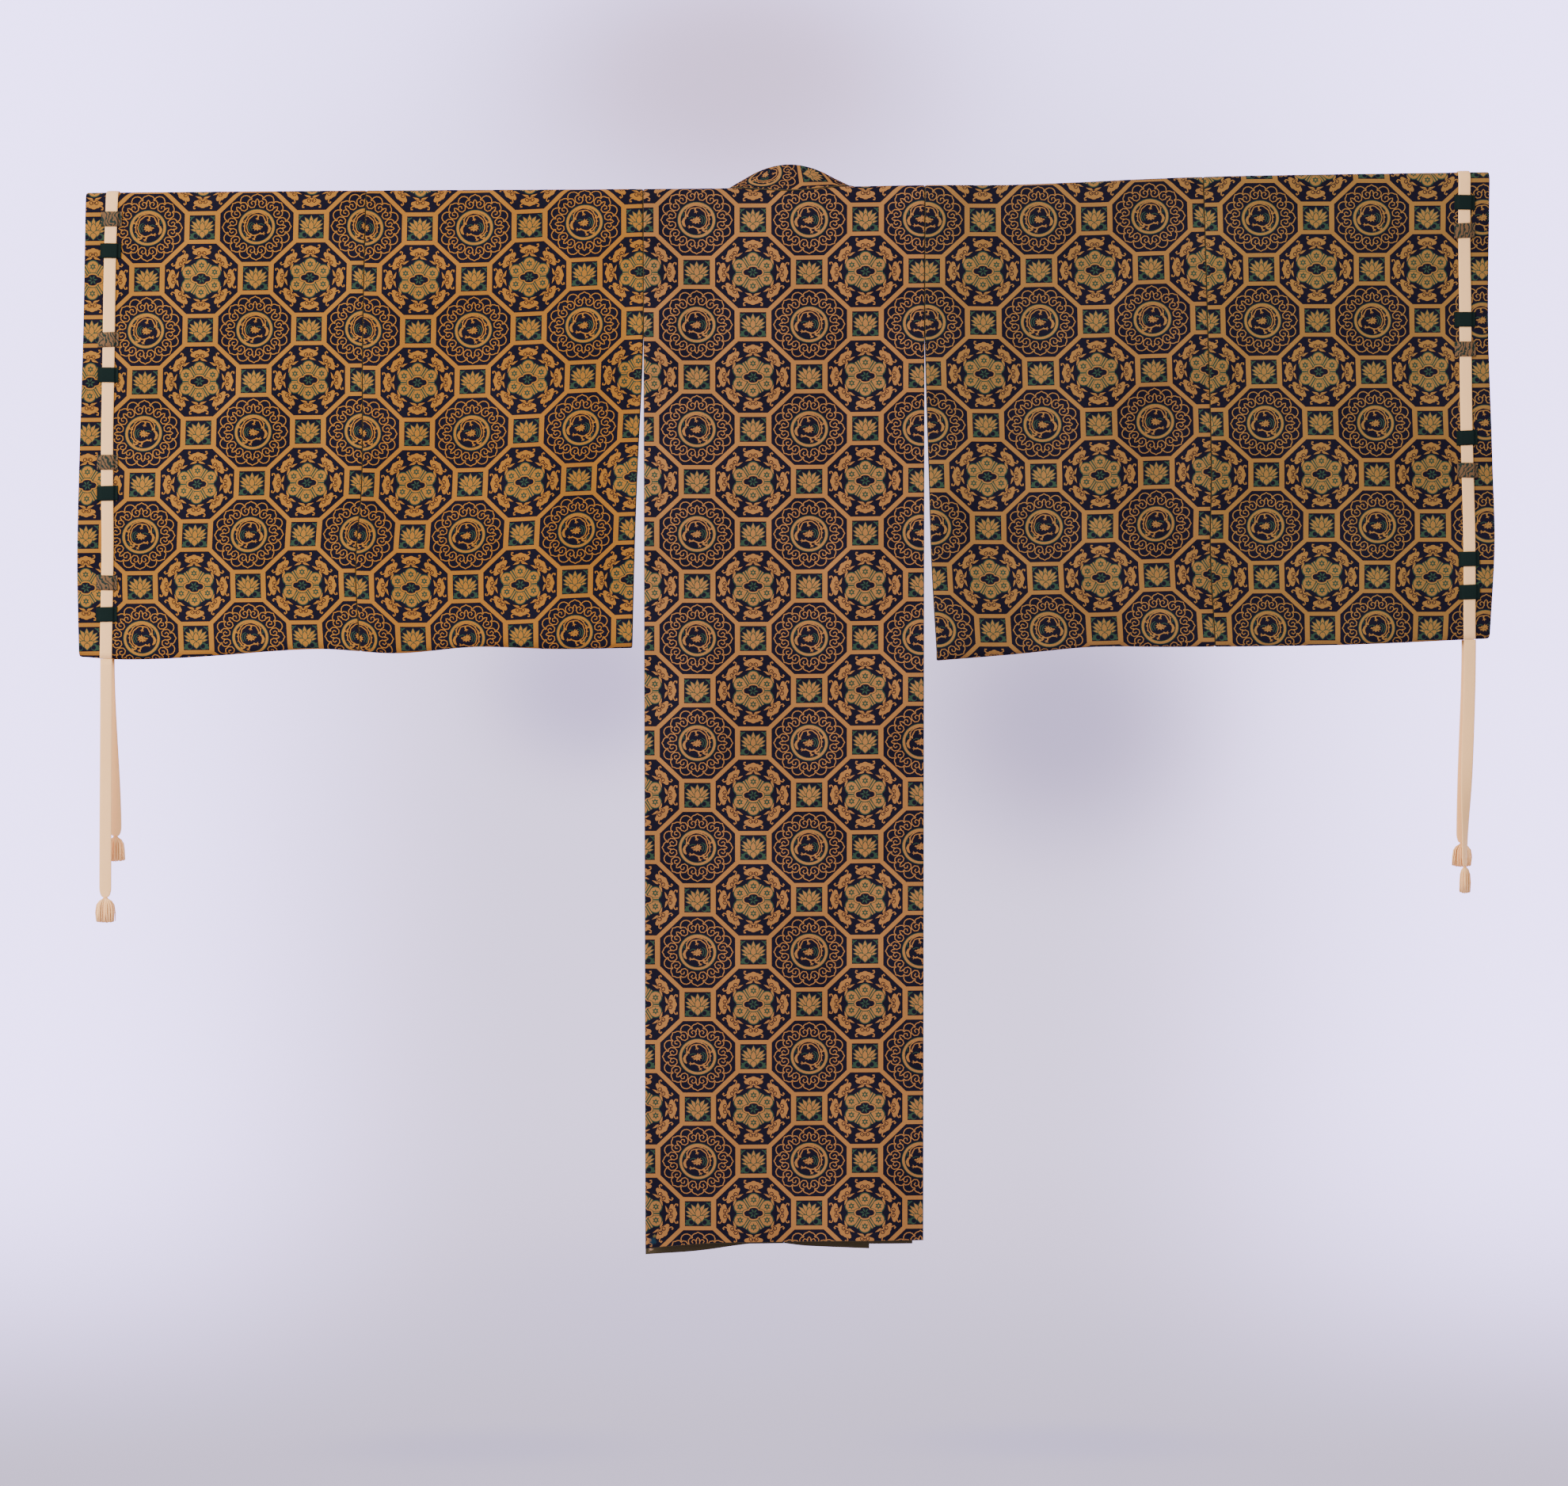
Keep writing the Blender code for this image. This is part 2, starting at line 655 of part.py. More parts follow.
def neck_columns(first, last, steps):
    """Places across, closer together where the neck edge is steep."""
    low = math.acos(max(-1.0, min(1.0, (NECK_CENTRE - first) / NECK_HALF_WIDTH)))
    high = math.acos(max(-1.0, min(1.0, (NECK_CENTRE - last) / NECK_HALF_WIDTH)))
    turns = [between(low, high, k / steps) for k in range(steps + 1)]
    return [NECK_CENTRE - NECK_HALF_WIDTH * math.cos(turn) for turn in turns]


def build_fronts(collection):
    """Half a loom width for each front and the overlap strip sewn to it at the middle."""
    left_side = NECK_CENTRE - NECK_HALF_WIDTH
    right_side = NECK_CENTRE + NECK_HALF_WIDTH
    pieces = (
        ("body_front_left", "over", FRONT_SEAM,
         [-FRONT_SIDE, -0.145] + neck_columns(left_side, -SEAM / 2, 6)),
        ("overlap_left", "over", OVERLAP_LEFT_TOP,
         neck_columns(SEAM / 2, right_side, 6) + [OVERLAP_LEFT]),
        ("body_front_right", "under", FRONT_SEAM,
         neck_columns(SEAM / 2, right_side, 6) + [0.152, FRONT_SIDE]),
        ("overlap_right", "under", OVERLAP_RIGHT_TOP,
         [OVERLAP_RIGHT] + neck_columns(left_side, -SEAM / 2, 6)),
    )
    for name, layer, highest, places in pieces:
        hem = OVER_HEM if layer == "over" else UNDER_HEM
        columns = []
        for x in places:
            top = max(neck_edge(x), highest) + SEAM / 2
            columns.append(front_column(x, layer, top, hem))
        wall(name, list(reversed(columns)), CLOTH, brocade(name), collection)


def collar_profile(turn):
    """Points across the collar band where the neck edge has turned from the back's middle."""
    reach = NECK_BACK if abs(turn) < math.pi / 2 else NECK_FRONT
    x = NECK_CENTRE + NECK_HALF_WIDTH * math.sin(turn)
    length = FRONT_SEAM - reach * math.cos(turn)
    out = Vector((math.sin(turn) / NECK_HALF_WIDTH, -math.cos(turn) / reach)).normalized()
    lift = COLLAR_LIFT
    if length < QUARTER + CLOTH:
        lift += LAYER * over_share(x) * smooth((math.degrees(abs(turn)) - 40) / 50)
    lap = sheet_point(x + out.x * COLLAR_LAP, length + out.y * COLLAR_LAP, lift)
    seam = sheet_point(x, length, lift)

    across = math.sin(turn)
    if abs(turn) < math.pi / 2:
        drop = COLLAR_ARC - math.sqrt(COLLAR_ARC ** 2 - (COLLAR_HALF_WIDTH * across) ** 2)
        side_drop = COLLAR_ARC - math.sqrt(COLLAR_ARC ** 2 - COLLAR_HALF_WIDTH ** 2)
        z = between(COLLAR_TOP, COLLAR_SIDE, drop / side_drop)
    else:
        z = between(COLLAR_FRONT, COLLAR_SIDE, across * across)
    swing = (COLLAR_Y[2] - COLLAR_Y[0]) / 2
    second = ((COLLAR_Y[0] + COLLAR_Y[2]) / 2 - COLLAR_Y[1]) / 2
    middle_y = (COLLAR_Y[0] + COLLAR_Y[2]) / 2 - second
    y = middle_y - swing * math.cos(turn) + second * math.cos(2 * turn)
    top = Vector((NECK_CENTRE + COLLAR_HALF_WIDTH * across, y, z))
    belly = Vector((math.sin(turn), -math.cos(turn), 0)) * 0.0015
    return [lap, seam, seam.lerp(top, 0.5) + belly, top]


def build_collar(collection):
    """The round standing band, closed at the wearer's right front with a knot and its loop."""
    first = COLLAR_OPENING + COLLAR_OPENING_HALF - 2 * math.pi
    last = COLLAR_OPENING - COLLAR_OPENING_HALF
    turns = [between(first, last, k / COLLAR_STEPS) for k in range(COLLAR_STEPS + 1)]
    turns = [turn + 2 * math.pi if turn < -math.pi else turn for turn in turns]
    columns = [collar_profile(turn) for turn in turns]
    wall("collar", columns, COLLAR_WALL, brocade("collar"), collection)

    seam, belly, top = collar_profile(COLLAR_OPENING)[1:]
    ahead = collar_profile(COLLAR_OPENING + 0.1)[2] - belly
    out = ahead.cross(top - seam).normalized()
    if out.y < 0:
        out.negate()
    tilt = out.to_track_quat("Z", "Y").to_matrix().to_4x4()

    work = bmesh.new()
    bmesh.ops.create_uvsphere(work, u_segments=12, v_segments=8, radius=KNOT_RADIUS)
    mesh = bpy.data.meshes.new("collar_knot")
    work.to_mesh(mesh)
    work.free()
    finish = material("collar_knot_silk", (0.70, 0.50, 0.36), 0.6, 0.3)
    knot = place("collar_knot", mesh, finish, collection)
    knot.matrix_world = Matrix.Translation(belly + out * (COLLAR_WALL / 2 + SEAM + KNOT_RADIUS)) @ tilt

    path = bpy.data.curves.new("collar_loop", "CURVE")
    path.dimensions = "3D"
    path.bevel_depth = LOOP_CORD
    path.bevel_resolution = 1
    steps = 18
    line = path.splines.new("POLY")
    line.points.add(steps - 1)
    line.use_cyclic_u = True
    for k, point in enumerate(line.points):
        angle = 2 * math.pi * k / steps
        point.co = (LOOP_RING * math.cos(angle), LOOP_RING * math.sin(angle), 0.0, 1.0)
    path.materials.append(material("collar_loop_silk", (0.70, 0.50, 0.36), 0.6, 0.3))
    loop = bpy.data.objects.new("collar_loop", path)
    collection.objects.link(loop)
    loop.matrix_world = Matrix.Translation(belly + out * (COLLAR_WALL / 2 + 2 * SEAM + LOOP_CORD)) @ tilt


def main():
    """Build the robe on its rod."""
    clear_scene()
    robe = bpy.data.collections.new("ceremonial_robe")
    cutters = bpy.data.collections.new("cutters")
    bpy.context.scene.collection.children.link(robe)
    bpy.context.scene.collection.children.link(cutters)
    build_rod(robe)
    build_back(robe, cutters)
    build_fronts(robe)
    build_collar(robe)
    build_sleeves(robe)
    build_held_tapes(robe)
    build_loops(robe)
    build_tape_ends(robe)
    build_tassels(robe)


main()
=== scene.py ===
"""Ceremonial court robe on its rod: woven cloth, braid, loops, tassels, light and camera.

Metres, +Z up, +X to the viewer's right, -Y towards the viewer, who sees the robe's back.
A place on a cloth piece is (p, s): p across the piece, and s the length along the cloth from the
shoulder line, negative down the back and positive down the front. Points of every cloth are kept
as arrays, so its shape is a function of whole arrays of p and s.
"""

import json
import math
from collections import namedtuple

import bpy
import numpy as np
from mathutils import Vector
from mathutils.geometry import delaunay_2d_cdt
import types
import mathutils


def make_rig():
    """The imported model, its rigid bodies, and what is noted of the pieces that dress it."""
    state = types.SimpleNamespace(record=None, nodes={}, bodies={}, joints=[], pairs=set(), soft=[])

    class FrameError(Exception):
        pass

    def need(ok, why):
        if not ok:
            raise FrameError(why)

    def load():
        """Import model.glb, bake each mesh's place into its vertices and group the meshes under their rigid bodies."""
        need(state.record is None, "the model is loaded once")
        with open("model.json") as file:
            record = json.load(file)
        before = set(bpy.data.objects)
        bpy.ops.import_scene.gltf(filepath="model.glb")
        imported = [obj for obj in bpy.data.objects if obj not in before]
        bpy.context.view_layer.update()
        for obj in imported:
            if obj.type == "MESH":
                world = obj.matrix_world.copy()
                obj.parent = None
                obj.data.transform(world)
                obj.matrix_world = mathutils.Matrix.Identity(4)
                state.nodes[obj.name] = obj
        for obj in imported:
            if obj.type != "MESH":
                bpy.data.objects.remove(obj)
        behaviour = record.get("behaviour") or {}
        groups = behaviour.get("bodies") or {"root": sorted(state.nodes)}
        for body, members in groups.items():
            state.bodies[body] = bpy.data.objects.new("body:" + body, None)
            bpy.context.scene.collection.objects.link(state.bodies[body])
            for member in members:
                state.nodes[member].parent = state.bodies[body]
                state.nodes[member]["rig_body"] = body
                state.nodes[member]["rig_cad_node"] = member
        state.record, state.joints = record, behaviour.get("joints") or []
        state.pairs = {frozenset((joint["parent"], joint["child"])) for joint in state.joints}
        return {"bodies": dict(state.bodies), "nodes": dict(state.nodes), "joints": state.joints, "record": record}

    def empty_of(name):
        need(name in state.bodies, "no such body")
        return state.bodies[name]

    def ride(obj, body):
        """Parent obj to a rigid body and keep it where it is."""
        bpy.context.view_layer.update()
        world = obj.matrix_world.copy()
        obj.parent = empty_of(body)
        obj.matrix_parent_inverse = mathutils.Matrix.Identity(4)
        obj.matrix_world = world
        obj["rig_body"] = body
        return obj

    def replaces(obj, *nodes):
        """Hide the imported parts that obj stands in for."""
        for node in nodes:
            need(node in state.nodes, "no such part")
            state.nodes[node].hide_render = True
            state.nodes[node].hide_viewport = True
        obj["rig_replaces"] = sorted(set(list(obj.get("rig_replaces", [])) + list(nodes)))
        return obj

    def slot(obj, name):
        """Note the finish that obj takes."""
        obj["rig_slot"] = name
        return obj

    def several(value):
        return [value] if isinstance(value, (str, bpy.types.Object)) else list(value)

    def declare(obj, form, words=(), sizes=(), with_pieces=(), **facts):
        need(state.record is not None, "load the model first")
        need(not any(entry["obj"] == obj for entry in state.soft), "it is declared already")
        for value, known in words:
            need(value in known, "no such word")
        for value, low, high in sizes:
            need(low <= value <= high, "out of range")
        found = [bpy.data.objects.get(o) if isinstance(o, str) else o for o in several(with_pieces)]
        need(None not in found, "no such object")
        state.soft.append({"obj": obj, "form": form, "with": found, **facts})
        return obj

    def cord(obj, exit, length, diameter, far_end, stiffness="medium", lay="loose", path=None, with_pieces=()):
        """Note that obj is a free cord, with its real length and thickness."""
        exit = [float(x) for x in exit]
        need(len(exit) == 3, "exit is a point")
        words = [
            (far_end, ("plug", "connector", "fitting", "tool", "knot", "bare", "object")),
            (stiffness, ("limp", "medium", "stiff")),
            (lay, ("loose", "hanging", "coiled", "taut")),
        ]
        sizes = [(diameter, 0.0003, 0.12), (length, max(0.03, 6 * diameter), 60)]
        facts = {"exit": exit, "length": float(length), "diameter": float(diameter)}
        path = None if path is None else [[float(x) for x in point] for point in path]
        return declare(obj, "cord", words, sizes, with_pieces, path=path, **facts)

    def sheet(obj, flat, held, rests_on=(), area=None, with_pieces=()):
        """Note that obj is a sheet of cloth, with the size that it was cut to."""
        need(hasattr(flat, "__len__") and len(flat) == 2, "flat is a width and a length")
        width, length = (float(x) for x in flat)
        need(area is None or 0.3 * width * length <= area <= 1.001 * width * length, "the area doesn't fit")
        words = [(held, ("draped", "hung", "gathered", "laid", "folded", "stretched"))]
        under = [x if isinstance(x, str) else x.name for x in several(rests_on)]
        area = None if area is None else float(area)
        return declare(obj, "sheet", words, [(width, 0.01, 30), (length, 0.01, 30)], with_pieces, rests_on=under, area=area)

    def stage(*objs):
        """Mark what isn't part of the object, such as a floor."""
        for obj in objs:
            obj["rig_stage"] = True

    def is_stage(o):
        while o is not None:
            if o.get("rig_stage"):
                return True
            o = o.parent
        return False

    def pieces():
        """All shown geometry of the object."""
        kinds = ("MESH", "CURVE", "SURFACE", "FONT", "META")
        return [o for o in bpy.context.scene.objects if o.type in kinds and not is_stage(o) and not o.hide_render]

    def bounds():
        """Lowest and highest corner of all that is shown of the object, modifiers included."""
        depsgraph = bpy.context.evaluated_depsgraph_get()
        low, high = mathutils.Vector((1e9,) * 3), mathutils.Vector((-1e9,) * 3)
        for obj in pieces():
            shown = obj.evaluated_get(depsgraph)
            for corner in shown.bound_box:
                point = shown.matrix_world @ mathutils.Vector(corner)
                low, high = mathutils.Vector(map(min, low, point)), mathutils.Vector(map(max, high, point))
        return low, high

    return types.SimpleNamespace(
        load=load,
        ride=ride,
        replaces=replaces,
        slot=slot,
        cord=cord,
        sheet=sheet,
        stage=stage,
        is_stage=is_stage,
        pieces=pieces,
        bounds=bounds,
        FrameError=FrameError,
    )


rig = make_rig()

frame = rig.load()
first_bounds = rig.bounds()

# Sizes shared with the model
CLOTH = 0.0020
SEAM = 0.0003
LAYER = 0.0032
ROD_RADIUS = 0.0110
ROD_ENDS = (-0.988, 0.998)
FOLD_RADIUS = 0.0126
QUARTER = FOLD_RADIUS * math.pi / 2

LinePoint = namedtuple("LinePoint", "x z")
ROD_LINE = (
    LinePoint(-1.00, -0.0072),
    LinePoint(-0.60, -0.0040),
    LinePoint(-0.20, -0.0018),
    LinePoint(0.00, 0.0000),
    LinePoint(0.20, 0.0038),
    LinePoint(0.33, 0.0044),
    LinePoint(0.60, 0.0156),
    LinePoint(1.00, 0.0223),
)
SleeveLine = namedtuple("SleeveLine", "depth wrist tape middle armhole")
SLEEVE_LINES = {
    "left": (
        SleeveLine(0.00, -0.9920, -0.9540, -0.5940, -0.2003),
        SleeveLine(0.20, -0.9960, -0.9595, -0.5985, -0.2003),
        SleeveLine(0.40, -1.0025, -0.9613, -0.6000, -0.2090),
        SleeveLine(0.52, -1.0045, -0.9620, -0.6085, -0.2130),
        SleeveLine(0.65, -1.0020, -0.9630, -0.6020, -0.2160),
    ),
    "right": (
        SleeveLine(0.00, 1.0024, 0.9664, 0.5960, 0.2003),
        SleeveLine(0.20, 1.0005, 0.9668, 0.6020, 0.2003),
        SleeveLine(0.40, 1.0070, 0.9710, 0.6075, 0.2060),
        SleeveLine(0.52, 1.0100, 0.9730, 0.6060, 0.2095),
        SleeveLine(0.65, 1.0030, 0.9745, 0.6130, 0.2170),
    ),
}
SLEEVE_BOTTOM = {
    "left": (
        LinePoint(-1.001, -0.6540),
        LinePoint(-0.934, -0.6580),
        LinePoint(-0.832, -0.6540),
        LinePoint(-0.664, -0.6430),
        LinePoint(-0.551, -0.6490),
        LinePoint(-0.439, -0.6400),
        LinePoint(-0.326, -0.6430),
        LinePoint(-0.217, -0.6415),
    ),
    "right": (
        LinePoint(0.218, -0.6595),
        LinePoint(0.326, -0.6505),
        LinePoint(0.439, -0.6400),
        LinePoint(0.551, -0.6400),
        LinePoint(0.720, -0.6385),
        LinePoint(0.832, -0.6360),
        LinePoint(1.001, -0.6280),
    ),
}
Fold = namedtuple("Fold", "x half_width push begins")
FOLDS = (
    Fold(-0.900, 0.100, 0.0025, 0.12),
    Fold(-0.730, 0.095, -0.0030, 0.08),
    Fold(-0.520, 0.085, 0.0032, 0.20),
    Fold(-0.350, 0.095, -0.0026, 0.05),
    Fold(-0.120, 0.070, -0.0030, 0.50),
    Fold(0.020, 0.080, 0.0035, 0.35),
    Fold(0.140, 0.060, -0.0032, 0.60),
    Fold(0.300, 0.090, 0.0030, 0.15),
    Fold(0.470, 0.100, -0.0025, 0.10),
    Fold(0.680, 0.085, 0.0032, 0.22),
    Fold(0.860, 0.100, -0.0028, 0.06),
)
FOLD_FADE = 0.30
GAP_CLOSING = 0.0036
GAP_FADE = 0.50
BACK_SIDES = (-0.2000, 0.2000)
BACK_HEM_SIDES = (-0.1970, 0.1980)
BACK_HEM = (LinePoint(-0.20, -1.4955), LinePoint(-0.15, -1.4905), LinePoint(-0.10, -1.4872),
            LinePoint(0.0, -1.4860), LinePoint(0.20, -1.4830))
FRONT_SEAM = 0.0220
FRONT_SIDE = 0.1975
UNDER_HEM_SIDE = 0.1830
OVERLAP_LEFT = 0.1215
OVERLAP_RIGHT = -0.1200
OVERLAP_LEFT_TOP = 0.0260
OVERLAP_RIGHT_TOP = 0.0460
OVER_HEM = (
    LinePoint(-0.197, -1.5055),
    LinePoint(-0.124, -1.5000),
    LinePoint(-0.026, -1.4886),
    LinePoint(0.034, -1.4940),
    LinePoint(0.1215, -1.4970),
)
UNDER_HEM = (LinePoint(-0.12, -1.4900), LinePoint(0.19, -1.4900))
NECK_BULGE = 0.0130
BULGE_DEPTHS = (0.10, 0.40)
NECK_CENTRE = 0.0080
NECK_HALF_WIDTH = 0.1000
NECK_BACK = 0.0300
NECK_FRONT = 0.0550
COLLAR_WALL = 0.0024
COLLAR_LAP = 0.0040
COLLAR_LIFT = 0.0028
COLLAR_HALF_WIDTH = 0.0700
COLLAR_ARC = 0.1110
COLLAR_TOP = 0.0460
COLLAR_SIDE = 0.0210
COLLAR_FRONT = -0.0200
COLLAR_Y = (-0.0060, 0.0250, 0.0370)
COLLAR_OPENING = math.radians(115)
COLLAR_OPENING_HALF = math.radians(1.2)
KNOT_RADIUS = 0.0050
LOOP_RING = 0.0085
LOOP_CORD = 0.0015
TAPE_WIDTH = 0.0170
TAPE_WALL = 0.0020
LOOP_WALL = 0.0012
LOOP_HEIGHT = 0.0210
LOOP_HALF_WIDTH = 0.0150
LOOP_SHOULDER = 0.0098
LOOP_DEPTHS = {
    "left": (0.039, 0.084, 0.210, 0.260, 0.384, 0.428, 0.555, 0.600),
    "right": (0.044, 0.084, 0.210, 0.252, 0.378, 0.424, 0.550, 0.597),
}
LOOP_KINDS = {
    "left": ("brocade", "green") * 4,
    "right": ("green", "brocade") * 3 + ("green", "green"),
}
TapeEnd = namedtuple("TapeEnd", "sleeve face length foot_x turn tassel_width tassel_length")
TAPE_ENDS = (
    TapeEnd("left", "back", 0.3385, -0.9645, 0, 0.028, 0.031),
    TapeEnd("left", "front", 0.2520, -0.9530, 8, 0.028, 0.031),
    TapeEnd("right", "back", 0.3220, 0.9675, 60, 0.024, 0.033),
    TapeEnd("right", "front", 0.2890, 0.9665, 12, 0.030, 0.029),
)
END_PINCH = 0.0060
PINCH_LENGTH = 0.0140
TASSEL_HEAD = (0.0075, 0.0050, 0.0060)
TASSEL_DEPTH = 0.0140
SIGN = {"left": -1, "right": 1, "back": -1, "front": 1}

# Repeat of the woven pattern, in mm, drawn from a dragon's centre
REPEAT_WIDE, REPEAT_HIGH = 158.0, 145.6
OCTAGON = ((53.2, 19.5), (20.8, 49.8))      # inner corners of an octagon, one quarter
SQUARE = (18.6, 17.4)                       # inner half sizes of a lotus square
MEDALLION = (1.025, 0.965)                  # the dragon's ring is a little wider than high
LONGEST_SIDE = 12.0                         # of an outline whose corners are thinned out
STRAIGHT = (0.30, 1.60)                     # how far a corner left out may stand off, behind and in front
RIM_STEP = 11.0                             # between corners on the repeat's rim
NEAR_CUT = 1e-7                             # how near a cut a corner counts as on it, in m
NAVY, GREEN, GOLD, LINING = range(4)


def unit(vector):
    """The same direction at length one."""
    return vector / np.linalg.norm(vector)


def smooth(share):
    """Ease from 0 to 1."""
    share = np.clip(share, 0.0, 1.0)
    return share * share * (3 - 2 * share)


def between(first, second, share):
    """Value part of the way from the first to the second."""
    return first + (second - first) * share


def along(table, at, key=0, value=1):
    """Values at places on a smooth curve through a table's rows."""
    keys = np.array([row[key] for row in table])
    values = np.array([row[value] for row in table])
    at = np.clip(at, keys[0], keys[-1])
    k = np.clip(np.searchsorted(keys, at, side="right") - 1, 0, len(keys) - 2)
    low = np.maximum(np.arange(len(keys)) - 1, 0)
    high = np.minimum(np.arange(len(keys)) + 1, len(keys) - 1)
    slopes = (values[high] - values[low]) / (keys[high] - keys[low])
    span = keys[k + 1] - keys[k]
    t = (at - keys[k]) / span
    rise = values[k + 1] - values[k]
    start, end = slopes[k] * span, slopes[k + 1] * span
    bend = (3 * rise - 2 * start - end) * t ** 2 + (start + end - 2 * rise) * t ** 3
    return values[k] + start * t + bend


# Creases of the cloth: middle, direction from straight down, half sizes and push
Crease = namedtuple("Crease", "x depth turn half_length half_width push")
CREASES = (
    Crease(-0.215, 0.30, 4, 0.260, 0.016, 0.0016),
    Crease(0.214, 0.33, -4, 0.280, 0.016, 0.0016),
    Crease(-0.245, 0.10, 32, 0.110, 0.014, -0.0012),
    Crease(0.248, 0.12, -30, 0.120, 0.014, -0.0012),
    Crease(-0.640, 0.36, 5, 0.250, 0.022, -0.0012),
    Crease(-0.575, 0.42, -4, 0.200, 0.020, 0.0012),
    Crease(0.640, 0.38, -5, 0.240, 0.022, 0.0012),
    Crease(0.570, 0.30, 3, 0.210, 0.018, -0.0011),
    Crease(-0.820, 0.52, 12, 0.120, 0.020, 0.0012),
    Crease(0.800, 0.50, -10, 0.130, 0.020, -0.0012),
    Crease(0.905, 0.30, 6, 0.180, 0.020, 0.0010),
    Crease(-0.420, 0.50, -8, 0.130, 0.018, -0.0012),
    Crease(0.400, 0.52, 8, 0.120, 0.018, 0.0012),
    Crease(-0.070, 0.80, 3, 0.300, 0.024, 0.0016),
    Crease(0.085, 0.95, -3, 0.320, 0.026, 0.0016),
    Crease(-0.150, 1.15, -3, 0.300, 0.022, -0.0014),
    Crease(0.010, 1.25, 2, 0.240, 0.026, -0.0016),
    Crease(0.155, 1.20, 2, 0.280, 0.022, 0.0012),
)


def rod_height(x):
    """Height of the rod's centre line."""
    return along(ROD_LINE, x)


def fold(x, depth):
    """How far the hanging cloth stands off its plane at a place."""
    total = np.zeros(np.broadcast(x, depth).shape)
    for row in FOLDS:
        across = np.minimum(np.abs(x - row.x) / row.half_width, 1.0)
        total += row.push * (1 - across ** 2) ** 2 * smooth((depth - row.begins) / FOLD_FADE)
    for row in CREASES:
        lean = math.radians(row.turn)
        run = (depth - row.depth) * math.cos(lean) + (x - row.x) * math.sin(lean)
        across = (x - row.x) * math.cos(lean) - (depth - row.depth) * math.sin(lean)
        run = np.minimum(np.abs(run) / row.half_length, 1.0)
        across = np.minimum(np.abs(across) / row.half_width, 1.0)
        total += row.push * (1 - across ** 2) ** 2 * (1 - run ** 2) ** 2
    total += 0.0004 * np.sin(x * 61 + depth * 9) * np.sin(depth * 23 + x * 17)
    return total


def half_gap(depth):
    """Half the distance between the hanging back and front faces."""
    return FOLD_RADIUS - GAP_CLOSING * smooth(depth / GAP_FADE)


def turn_depth(x, bottom):
    """Depth at which a sleeve's faces start to turn round its bottom edge."""
    low = rod_height(x) - bottom
    return low - CLOTH / 2 - half_gap(low)


def hang(x, s, lift, bottom=None):
    """Points over the rod and down a face; with a bottom height they turn round that edge."""
    angle = np.clip(s / FOLD_RADIUS, -math.pi / 2, math.pi / 2)
    down = np.maximum(np.abs(s) - QUARTER, 0.0)
    past = np.zeros_like(down)
    if bottom is not None:
        most = turn_depth(x, bottom)
        past = np.maximum(down - most, 0.0) / half_gap(most)
        down = np.minimum(down, most)
    y = (half_gap(down) + lift) * np.sin(angle) * np.cos(past) + fold(x, down)
    z = rod_height(x) - down + (FOLD_RADIUS + lift) * np.cos(angle)
    z = z - (half_gap(down) + lift) * np.sin(past)
    return np.stack([x, y, z], axis=-1)


def over_share(x):
    """How much of the layer step the left front has taken at a place."""
    return smooth((x - NECK_CENTRE + NECK_HALF_WIDTH) / (2 * NECK_HALF_WIDTH))


def hang_front(x, s, lift, layer):
    """Points of a front, which hangs over or under the other one."""
    down = np.maximum(s - QUARTER, 0.0)
    near = smooth((NECK_HALF_WIDTH + 0.01 - np.abs(x - NECK_CENTRE)) / (0.8 * NECK_HALF_WIDTH))
    far = smooth((BULGE_DEPTHS[1] - down) / (BULGE_DEPTHS[1] - BULGE_DEPTHS[0]))
    step = LAYER * (over_share(x) - (layer == "under"))
    y = FOLD_RADIUS + NECK_BULGE * near * far + step + fold(x, down) + lift
    return np.stack([x, y, rod_height(x) - down], axis=-1)


# Drawing of the woven figures: each shape is a colour and a closed outline in mm, later ones on top

def mirrored(points):
    """The same points on the other side of u = 0."""
    return [(-u, v) for u, v in points]


def closed_half(half):
    """Closed outline from its right half, whose ends lie on u = 0."""
    return half + mirrored(half[1:-1])[::-1]


def through(half):
    """A line from a half that ends on u = 0."""
    return half + mirrored(half[:-1])[::-1]


def curved(points):
    """Twice as many points, on a smooth curve through these."""
    line = np.array(points, float)
    line = np.concatenate([2 * line[:1] - line[1:2], line, 2 * line[-1:] - line[-2:-1]])
    made = []
    for before, first, second, after in zip(line, line[1:], line[2:], line[3:]):
        for t in (0.0, 0.5):
            square, cube = t * t, t ** 3
            made.append(0.5 * (
                2 * first + (second - before) * t
                + (2 * before - 5 * first + 4 * second - after) * square
                + (3 * first - before - 3 * second + after) * cube
            ))
    made.append(line[-2])
    return np.array(made)


def stroke(points, width):
    """Outline of a line of the given width, or widths, through points."""
    line = np.array(points, float)
    run = np.gradient(line, axis=0)
    run /= np.linalg.norm(run, axis=1)[:, None]
    half = np.broadcast_to(np.asarray(width, float) / 2, len(line))[:, None]
    side = np.stack([-run[:, 1], run[:, 0]], axis=1) * half
    return np.concatenate([line + side, (line - side)[::-1]])


def leaf(base, tip, width):
    """A pointed leaf from its base to its tip."""
    base, tip = np.array(base, float), np.array(tip, float)
    run = tip - base
    side = np.array([-run[1], run[0]]) / np.linalg.norm(run) * width / 2
    rows = ((0.0, 0.45), (0.30, 1.0), (0.65, 0.85))
    left = [base + run * at + side * share for at, share in rows]
    right = [base + run * at - side * share for at, share in rows]
    return np.array(left + [tip] + right[::-1])


def circle(radius, count, centre=(0, 0)):
    """A closed round outline."""
    turn = np.arange(count) * 2 * math.pi / count
    return np.stack([np.cos(turn), np.sin(turn)], axis=1) * radius + centre


